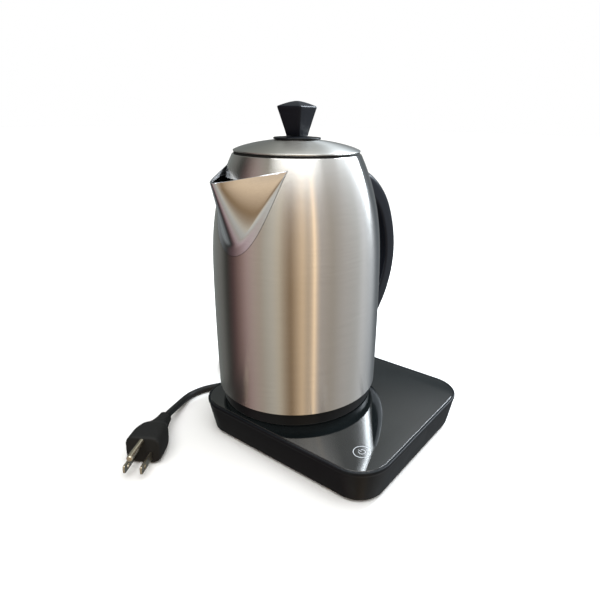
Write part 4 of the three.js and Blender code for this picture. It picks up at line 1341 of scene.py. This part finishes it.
    def feet(self) -> None:
        """Four rubber feet with a dished underside."""
        nodes = [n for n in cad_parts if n.startswith("foot_")]
        low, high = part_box(nodes[0])
        radius = (high.y - low.y) / 2
        profile = rounded([(0.0, 0.0005, 0), (radius * 0.55, 0.0004, 0.001), (radius * 0.65, 0.0, 0.0006),
                           (radius, 0.0, 0.0008), (radius, high.z, 0.0003), (0.0, high.z, 0)], closed=False)
        foot = turned("foot", profile, RUBBER, SMALL_SIDES, Matrix(), closed=False)
        repeated("base_feet", foot, nodes, RUBBER)

    def screws(self) -> None:
        """Four cover screws with a cross recess in the head."""
        nodes = [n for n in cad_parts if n.startswith("cover_screw_")]
        low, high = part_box(nodes[0])
        head, shank, shoulder = (high.x - low.x) / 2, self.shank_radius, low.z + 0.0011
        profile = rounded([(0.0, low.z, 0), (head, low.z, 0.0008), (head, shoulder, 0.0001),
                           (shank, shoulder, 0), (shank, high.z - 0.001, 0), (0.0, high.z, 0)], closed=False)
        screw = turned("screw", profile, PLAIN_STEEL, SMALL_SIDES, Matrix(), closed=False)
        for x, y in (self.recess, self.recess[::-1]):
            slot = [[Vector((a * x, b * y, z)) for a, b in ((-1, -1), (1, -1), (1, 1), (-1, 1))]
                    for z in (low.z - 0.001, low.z + 0.0007)]
            cut(screw, lofted("recess", slot, place=Matrix()))
        repeated("cover_screws", screw, nodes, PLAIN_STEEL)

    def connector(self) -> list[Piece]:
        """Plinth with a ring slot, earth pin and contact ring.

        Returns:
            The plinth and the contact ring.
        """
        low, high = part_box("base_connector")
        floor, radius, step = high.z - self.slot_depth, self.plinth_radius, low.z + self.plinth_flange
        bore, wide = self.pin_radius + GAP, self.plinth_radius + 0.0025
        plinth = turned_out("connector_plinth", [
            (bore, low.z, 0), (wide, low.z, 0), (wide, step, 0), (radius, step, 0), (radius, high.z, 0.002),
            (self.slot_outer, high.z, 0.0005), (self.slot_outer, floor, 0), (self.slot_inner, floor, 0),
            (self.slot_inner, high.z, 0.0005), (bore, high.z, 0.0004)],
            Body.BASE, BLACK_PLASTIC, "base_connector")
        foot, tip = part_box("earth_pin")
        step, radius = foot.z + 0.002, self.pin_radius
        turned_out("connector_pin", [
            (0.0, foot.z, 0), (0.006, foot.z, 0), (0.006, step, 0), (radius, step, 0),
            (radius, tip.z - 0.0012, 0.0012), (0.0012, tip.z, 0.0008), (0.0, tip.z, 0)],
            Body.BASE, BRASS, "earth_pin", SMALL_SIDES, closed=False)
        return [plinth, *coat(BRASS, "base_contact_ring")]


# ------------------------------------------------------------------ jug
@dataclass
class Jug:
    """Steel jug with its spout, skirt, floor and heater."""

    bottom_radius: float = 0.066
    belly_radius: float = 0.0678
    top_radius: float = 0.0503
    belly_share: float = 0.5
    shoulder_power: float = 2.6
    wall: float = 0.0012
    lid_opening: float = 0.046
    skirt_radius: float = 0.063
    skirt_wall: float = 0.002
    spout_half_width: float = 0.033
    spout_lip_z: float = 0.2205
    spout_foot_z: float = 0.166
    spout_fullness: float = 0.017
    tip_reach: float = 0.082
    tip_z: float = 0.213
    tip_round: float = 0.007
    flange: float = 0.007
    hole_top_z: float = 0.212
    ruling_power: float = 1.6
    crease: float = 0.0022  # length of the rounding where the beak leaves the body
    socket_radius: float = 0.0223
    socket_wall: float = 0.0047
    socket_roof: float = 0.0393
    pin_hole: float = 0.0042
    pin_hole_top: float = 0.0448

    def __post_init__(self) -> None:
        """Take the shell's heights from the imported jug."""
        low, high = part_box("jug_shell")
        self.bottom, self.top = low.z, high.z
        self.belly = self.bottom + self.belly_share * (self.top - self.bottom)
        self.rise = self.spout_lip_z - self.spout_foot_z

    def build(self) -> None:
        """Make all the pieces of the jug."""
        self.shell()
        self.spout()
        self.underside()
        coat(ALUMINIUM, "heat_spreader")
        coat(PLAIN_STEEL, "floor_plate", "heating_element", "temperature_sensor")
        coat(COMPONENT, "thermal_fuse")
        coat(BRASS, "jug_contact_blade")

    def radius(self, z: float) -> float:
        """Outer radius of the shell.

        Args:
            z: Height.

        Returns:
            The radius there.
        """
        if z <= self.belly:
            down = (self.belly - z) / (self.belly - self.bottom)
            return self.belly_radius - (self.belly_radius - self.bottom_radius) * down ** 2
        up = min((z - self.belly) / (self.top - self.belly), 1.0)
        return self.belly_radius - (self.belly_radius - self.top_radius) * up ** self.shoulder_power

    def side(self, offset: float, high: float, steps: int = 60) -> list[Point2]:
        """Line up the side of the shell from its foot.

        Args:
            offset: How far it is moved out.
            high: Height that it ends at.
            steps: Stretches of the line.

        Returns:
            Radius and height of each point.
        """
        shares = [1 - (1 - k / steps) ** 1.3 for k in range(steps + 1)]
        heights = [self.bottom + (high - self.bottom) * share for share in shares]
        return [(self.radius(z) + offset, z) for z in heights]

    def space(self, offset: float) -> Piece:
        """Solid that fills the shell, moved out by an offset."""
        profile = [(0.0, self.bottom), *self.side(offset, self.top), (0.0, self.top)]
        return turned("inside", profile, STEEL, closed=False)

    def v_point(self, q: float, distance: float) -> Point2:
        """Point on the V where the beak meets the body, moved away from the V by a distance.

        Args:
            q: Place along the V, from -1 to 1, with 0 at its lowest point.
            distance: Distance outwards from the V, or inwards when negative.

        Returns:
            Distance across and height.
        """
        a = abs(q)
        across = 2 * a * (1 - a) * self.spout_fullness + a * a * self.spout_half_width
        slope_x = 2 * (1 - 2 * a) * self.spout_fullness + 2 * a * self.spout_half_width
        slope_z = 2 * a * self.rise
        length = math.hypot(slope_x, slope_z)
        x = across + slope_z / length * distance
        z = self.spout_foot_z + a * a * self.rise - slope_x / length * distance
        end_slope = 2 * (self.spout_half_width - self.spout_fullness)
        end_drop = end_slope / math.hypot(end_slope, 2 * self.rise) * distance
        near_end = max((a - 0.8) / 0.2, 0.0) ** 2
        return math.copysign(x, q) if a > 0 else 0.0, z + end_drop * near_end

    def on_body(self, q: float, distance: float, offset: float = 0.0) -> Vector:
        """Point of the shell beside the V, as in v_point, moved out by an offset."""
        across, z = self.v_point(q, distance)
        return Vector((-math.sqrt((self.radius(z) + offset) ** 2 - across ** 2), across, z))

    def lip_point(self, q: float, inset: float) -> Vector:
        """Point on the lip, moved inwards by a distance.

        Args:
            q: Place along the lip, from -1 to 1, with 0 at the tip.
            inset: Distance inwards.

        Returns:
            The point.
        """
        half = self.spout_half_width - inset
        tip = self.tip_reach - 1.4 * inset
        end = math.sqrt(self.radius(self.spout_lip_z) ** 2 - half ** 2)
        sweep = tip - end + self.tip_round
        slope = math.sqrt(sweep ** 2 - self.tip_round ** 2) / half
        across = math.copysign(abs(q) ** self.ruling_power * half, q)
        reach = tip + self.tip_round - math.hypot(slope * across, self.tip_round)
        share = (tip - reach) / (tip - end)
        return Vector((-reach, across, self.tip_z + share * (self.spout_lip_z - self.tip_z)))

    def rim(self, q: float) -> float:
        """Width of the flush rim at a place along the V; it runs out at the lip."""
        return self.flange * max(1 - abs(q) ** 3, 0.02)

    def v_steps(self, count: int) -> list[float]:
        """Places along the V, closer together at its foot and its ends."""
        return [math.sin(math.pi / 2 * (2 * k / count - 1)) for k in range(count + 1)]

    def shell(self) -> None:
        """Shell with its lid opening and the cut for the spout."""
        lip = self.top - self.wall
        *outer, edge = self.side(0.0, self.top)
        inner = reversed(self.side(-self.wall, lip))
        profile = [*((r, z, 0.0) for r, z in outer), (*edge, 0.0006), (self.lid_opening, self.top, 0.0004),
                   (self.lid_opening, lip, 0.0004), *((r, z, 0.0) for r, z in inner)]
        body = turned("jug_body", rounded(profile, 4), STEEL)
        window = [self.v_point(q, self.rim(q) + GAP) for q in self.v_steps(80)]
        hole_end = math.sqrt((self.hole_top_z - self.spout_foot_z) / self.rise)
        places = [hole_end + (1 - hole_end) * k / 12 for k in range(12, -1, -1)]
        back = [self.v_point(q, -1.25 * self.wall) for q in places]
        for line, end in ((window, 0), (window, -1), (back, 0)):
            line[end] = (line[end][0], self.spout_lip_z + GAP)
        window += back + [(-x, z) for x, z in reversed(back)]
        cut(body, lofted("window", [[Vector((-reach, x, z)) for x, z in window] for reach in (0.092, 0.015)]))
        self.true_normals(body)
        settle(body, Body.JUG, STEEL, "jug_shell")

    def true_normals(self, body: Piece) -> None:
        """Shade the cut shell with the exact normals of its turned surface.

        Args:
            body: The shell.
        """
        mesh, step = body.data, 0.0002
        normals = []
        for face in mesh.polygons:
            for index in face.loop_indices:
                point = mesh.vertices[mesh.loops[index].vertex_index].co - AXIS
                reach = math.hypot(point.x, point.y)
                slope = (self.radius(point.z + step) - self.radius(point.z - step)) / (2 * step)
                way = Vector((point.x / reach, point.y / reach, -slope)).normalized()
                side = face.normal.dot(way)
                smooth = abs(side) > 0.9 and point.z < self.top - 0.0008
                normals.append(way * math.copysign(1, side) if smooth else Vector((0, 0, 0)))
        mesh.normals_split_custom_set(normals)

    def spout(self) -> None:
        """Beak and flush flange, with a soft crease between them and a rolled lip."""
        rings = [self.spout_section(q) for q in self.v_steps(120)]
        # The spout's steel is painted lighter and bluer than the body's: painted light.
        settle(lofted("spout_beak", rings), Body.JUG, SPOUT_STEEL_PAINTED_LIGHT, "spout")

    def spout_section(self, q: float) -> list[Vector]:
        """Section through the rim, the beak, the lip and back along the inside.

        Args:
            q: Place along the V, from -1 to 1.

        Returns:
            The section's points.
        """
        rim, wall = self.rim(q), self.wall
        start, lip, lip_in = self.on_body(q, 0.0), self.lip_point(q, 0.0), self.lip_point(q, wall)
        reach = (lip - start).length
        near = self.on_body(q, min(self.crease, 0.45 * rim))
        beak = start.lerp(lip, min(self.crease, 0.45 * reach) / reach) if reach > 1e-5 else start
        ring = [self.on_body(q, share * rim) for share in (1.0, 0.75, 0.5)]
        ring += [bend(near, start, beak, k / 6) for k in range(7)]
        ring += [beak.lerp(lip, k / 8) for k in range(1, 8)]
        edge = (lip_in - lip) / 2
        for k in range(5):
            angle = math.pi * k / 4
            lift = Vector((0, 0, 0.4 * wall * math.sin(angle) - 0.4 * wall))
            ring.append(lip + edge * (1 - math.cos(angle)) + lift)
        inner_start = self.on_body(q, -wall, -0.2 * wall)
        ring += [lip_in.lerp(inner_start, k / 5) for k in range(1, 6)]
        return ring + [self.on_body(q, share * rim, -wall) for share in (0.0, 0.5, 1.0)]

    def underside(self) -> None:
        """Skirt and the jug's half of the connector."""
        low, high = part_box("jug_skirt")
        inner, radius = self.socket_radius + 0.0012, self.skirt_radius
        inside, floor = radius - self.skirt_wall, low.z + self.skirt_wall
        turned_out("skirt_ring", [
            (inner, low.z, 0.0004), (radius, low.z, 0.0012), (radius, high.z, 0.0003),
            (inside, high.z, 0.0003), (inside, floor, 0), (inner, floor, 0)],
            Body.JUG, BLACK_PLASTIC, "jug_skirt")
        foot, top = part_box("jug_connector")
        radius, outer = self.socket_radius, self.socket_radius + self.socket_wall
        turned_out("connector_socket", [
            (0.0, self.pin_hole_top, 0), (self.pin_hole, self.pin_hole_top, 0),
            (self.pin_hole, self.socket_roof, 0.0006), (radius, self.socket_roof, 0.0004),
            (radius, foot.z, 0.0006), (outer, foot.z, 0.0004), (outer, top.z, 0.002), (0.0, top.z, 0)],
            Body.TURNTABLE, BLACK_PLASTIC, "jug_connector", closed=False)


# ------------------------------------------------------------------ handle
@dataclass
class Handle:
    """Loop handle: a channelled grip with a flush cover on the finger side."""

    jug: Jug
    half_width: float = 0.012
    half_thickness: float = 0.009
    half_channel: float = 0.008
    skin: float = 0.006
    cover: float = 0.004
    palm_power: float = 0.72
    palm_inset: float = 0.00012
    finger_round: float = 0.0028
    screw_shares: Point2 = (0.135, 0.865)
    screw_hole: float = 0.0029
    steps: int = 120
    line: tuple[Point2, ...] = (  # distance from the jug's axis, height
        (0.046, 0.207), (0.066, 0.2055), (0.084, 0.199), (0.1045, 0.180), (0.117, 0.151),
        (0.1195, 0.123), (0.112, 0.0965), (0.097, 0.075), (0.080, 0.062), (0.060, 0.055), (0.046, 0.053))

    def build(self) -> None:
        """Make the grip and its cover."""
        self.run = SmoothLine([(x, 0.0, z) for x, z in self.line])
        self.grip()
        self.finger_cover()
        coat(PLAIN_STEEL, "handle_bracket_upper", "handle_bracket_lower", "handle_screw_upper",
             "handle_screw_lower")

    def at(self, share: float) -> Matrix:
        """Frame on the handle's line: x across, y towards the fingers, z along.

        Args:
            share: Share of the handle's length.

        Returns:
            The frame as a matrix.
        """
        point, along = self.run.at(share)
        across = Vector((0, -1, 0))
        turn = Matrix((across, along.cross(across), along)).transposed().to_4x4()
        return Matrix.Translation(point) @ turn

    def sweep(self, name: str, section: Sequence[Point2]) -> Piece:
        """Section swept along the handle and trimmed to the jug.

        Args:
            name: The object's name.
            section: Points across and towards the fingers.

        Returns:
            The swept piece.
        """
        places = [self.at(k / self.steps) for k in range(self.steps + 1)]
        rings = [[here @ Vector((x, y, 0)) for x, y in section] for here in places]
        return cut(lofted(name, rings), self.jug.space(GAP))

    def grip(self) -> None:
        """Grip, round on the palm side, with a channel for the cover."""
        w, c, t = self.half_width, self.half_channel, self.half_thickness
        power, thick, floor = self.palm_power, t - self.palm_inset, self.skin - t
        palm = []
        for k in range(37):
            angle = math.pi * (1 + k / 36)
            x, y = math.cos(angle), math.sin(angle)
            palm.append((w * math.copysign(abs(x) ** power, x),
                         thick * math.copysign(abs(y) ** power, y), 0.0))
        fingers = [(w, t, self.finger_round), (c, t, 0.0003), (c, floor, 0.0), (-c, floor, 0.0),
                   (-c, t, 0.0003), (-w, t, self.finger_round)]
        settle(self.sweep("grip_shell", rounded(palm + fingers, 6)), Body.JUG, HANDLE_PLASTIC, "handle_grip")

    def finger_cover(self) -> None:
        """Flush cover with two screw holes."""
        w, low, high = self.half_channel - GAP, self.half_thickness - self.cover, self.half_thickness
        section = rounded([(-w, low, 0), (w, low, 0), (w, high, 0.0004), (-w, high, 0.0004)], 4)
        cover = self.sweep("finger_side_cover", section)
        for share in self.screw_shares:
            bored(cover, self.screw_hole, low - 0.002, high + 0.002, HANDLE_PLASTIC,
                  place=JUG_PLACE @ self.at(share) @ Matrix.Rotation(-math.pi / 2, 4, "X"))
        settle(cover, Body.JUG, HANDLE_PLASTIC, "handle_cover")


# ------------------------------------------------------------------ lid
@dataclass
class Lid:
    """Domed steel lid with a black insert, seal and flared square knob."""

    radius: float = 0.0496
    dome_rise: float = 0.0086
    dome_power: float = 0.8
    rim_height: float = 0.001
    rim_round: float = 0.0005
    wall: float = 0.001
    seal_width: float = 0.003
    insert_radius: float = 0.0454
    insert_wall: float = 0.002
    insert_brim: float = 0.2295
    post_radius: float = 0.006
    disc_radius: float = 0.0185
    disc_edge: float = 0.0014
    knob_foot: float = 0.0088  # from the axis to a corner
    knob_top: float = 0.016
    knob_crown: float = 0.0036
    knob_bevel: float = 0.0012
    knob_corner: Point2 = (0.0009, 0.0015)  # rounding of its corners at the foot and the top
    knob_turn: float = math.radians(54)
    knob_bore: float = 0.0142
    bore: float = 0.0024

    def build(self) -> None:
        """Make all the pieces of the lid."""
        self.dome()
        self.seal_and_insert()
        self.disc()
        self.knob()
        coat(PLAIN_STEEL, "knob_screw")

    def dome_line(self, inset: float, foot: float, steps: int = 40) -> list[Point2]:
        """Line of the dome's skin from its rim to the bore.

        Args:
            inset: How far it is moved inwards.
            foot: Height of the rim.
            steps: Stretches of the line.

        Returns:
            Radius and height of each point.
        """
        radius = self.radius - inset
        last = math.asin(self.bore / radius)
        angles = [math.pi / 2 + (last - math.pi / 2) * k / steps for k in range(steps + 1)]
        power = 2 * self.dome_power
        return [(radius * math.sin(t), foot - inset + self.dome_rise * max(math.cos(t), 0.0) ** power)
                for t in angles]

    def dome(self) -> None:
        """Steel dome with a soft rim."""
        low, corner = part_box("lid_dome")[0].z, self.rim_round
        foot = low + self.rim_height
        profile = [(self.radius - self.wall, low), (self.radius - corner, low), (self.radius, low + corner),
                   *self.dome_line(0.0, foot), *reversed(self.dome_line(self.wall, foot))]
        # The lid's steel is painted darker than the body's: painted shade.
        settle(turned("lid_skin", profile, LID_STEEL_PAINTED_SHADE), Body.LID, LID_STEEL_PAINTED_SHADE, "lid_dome")

    def seal_and_insert(self) -> None:
        """Rubber seal under the rim and the black insert that plugs the jug."""
        low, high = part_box("lid_seal")
        outer = self.radius - GAP
        inner = outer - self.seal_width
        turned_out("lid_gasket", [
            (inner, low.z, 0.0003), (outer, low.z, 0.0003), (outer - 0.0004, (low.z + high.z) / 2, 0.0002),
            (outer, high.z, 0.0003), (inner, high.z, 0.0003)], Body.LID, RUBBER, "lid_seal")
        low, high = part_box("lid_inner")
        radius, post, brim = self.insert_radius, self.post_radius, self.insert_brim
        floor, inside = low.z + self.insert_wall, radius - self.insert_wall
        turned_out("lid_insert", [
            (self.bore, low.z, 0), (radius, low.z, 0.0016), (radius, brim, 0.0002), (inside, brim, 0.0002),
            (inside, floor, 0.001), (post, floor, 0.001), (post, high.z, 0), (self.bore, high.z, 0)],
            Body.LID, BLACK_PLASTIC, "lid_inner")

    def disc(self) -> None:
        """Thin black disc between the dome and the knob."""
        low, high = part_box("knob_disc")
        turned_out("knob_washer", [
            (self.bore, high.z - self.disc_edge, 0), (self.disc_radius, low.z, 0.0003),
            (self.disc_radius, low.z + self.disc_edge, 0.0006), (self.knob_foot + 0.001, high.z, 0.0015),
            (self.bore, high.z, 0)], Body.LID, BLACK_PLASTIC, "knob_disc")

    def square(self, diagonal: float, corner: float, z: float) -> list[Vector]:
        """Square with rounded corners at a height, given from its middle to a corner."""
        half, turn = diagonal / math.sqrt(2), Matrix.Rotation(math.pi / 4, 3, "Z")
        return [turn @ p for p in rounded_rectangle(half, half, corner, z, 6)]

    def knob(self) -> None:
        """Flared square knob with bevelled edges and a crowned top."""
        low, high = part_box("lid_knob")
        bevel, top, (small, large) = self.knob_bevel, high.z - self.knob_crown, self.knob_corner
        rings = []
        for k in range(15):
            t = k / 14
            wide = self.knob_foot + (self.knob_top - self.knob_foot) * t ** 1.05
            rings.append(self.square(wide, small + (large - small) * t, low.z + (top - bevel - low.z) * t))
        for k in range(1, 5):
            angle = math.pi / 2 * k / 4
            shrink = bevel * (1 - math.cos(angle))
            rings.append(self.square(self.knob_top - shrink, large, top - bevel * (1 - math.sin(angle))))
        for k in range(1, 12):
            share = 1 - k / 12
            rise = self.knob_crown * (1 - share ** 1.5)
            rings.append(self.square((self.knob_top - bevel) * share, large * share, top + rise))
        body = lofted("knob_body", rings, place=JUG_PLACE @ Matrix.Rotation(self.knob_turn, 4, "Z"))
        bored(body, self.bore, low.z - 0.001, low.z + self.knob_bore, HANDLE_PLASTIC)
        settle(body, Body.LID, HANDLE_PLASTIC, "lid_knob")


def main() -> None:
    """Build the studio and the kettle in order."""
    logging.basicConfig(level=logging.INFO, format="%(message)s")
    Studio().build()
    MainsCord().build()
    PowerBase().build()
    jug = Jug()
    jug.build()
    Handle(jug).build()
    Lid().build()


if __name__ == "__main__":
    main()
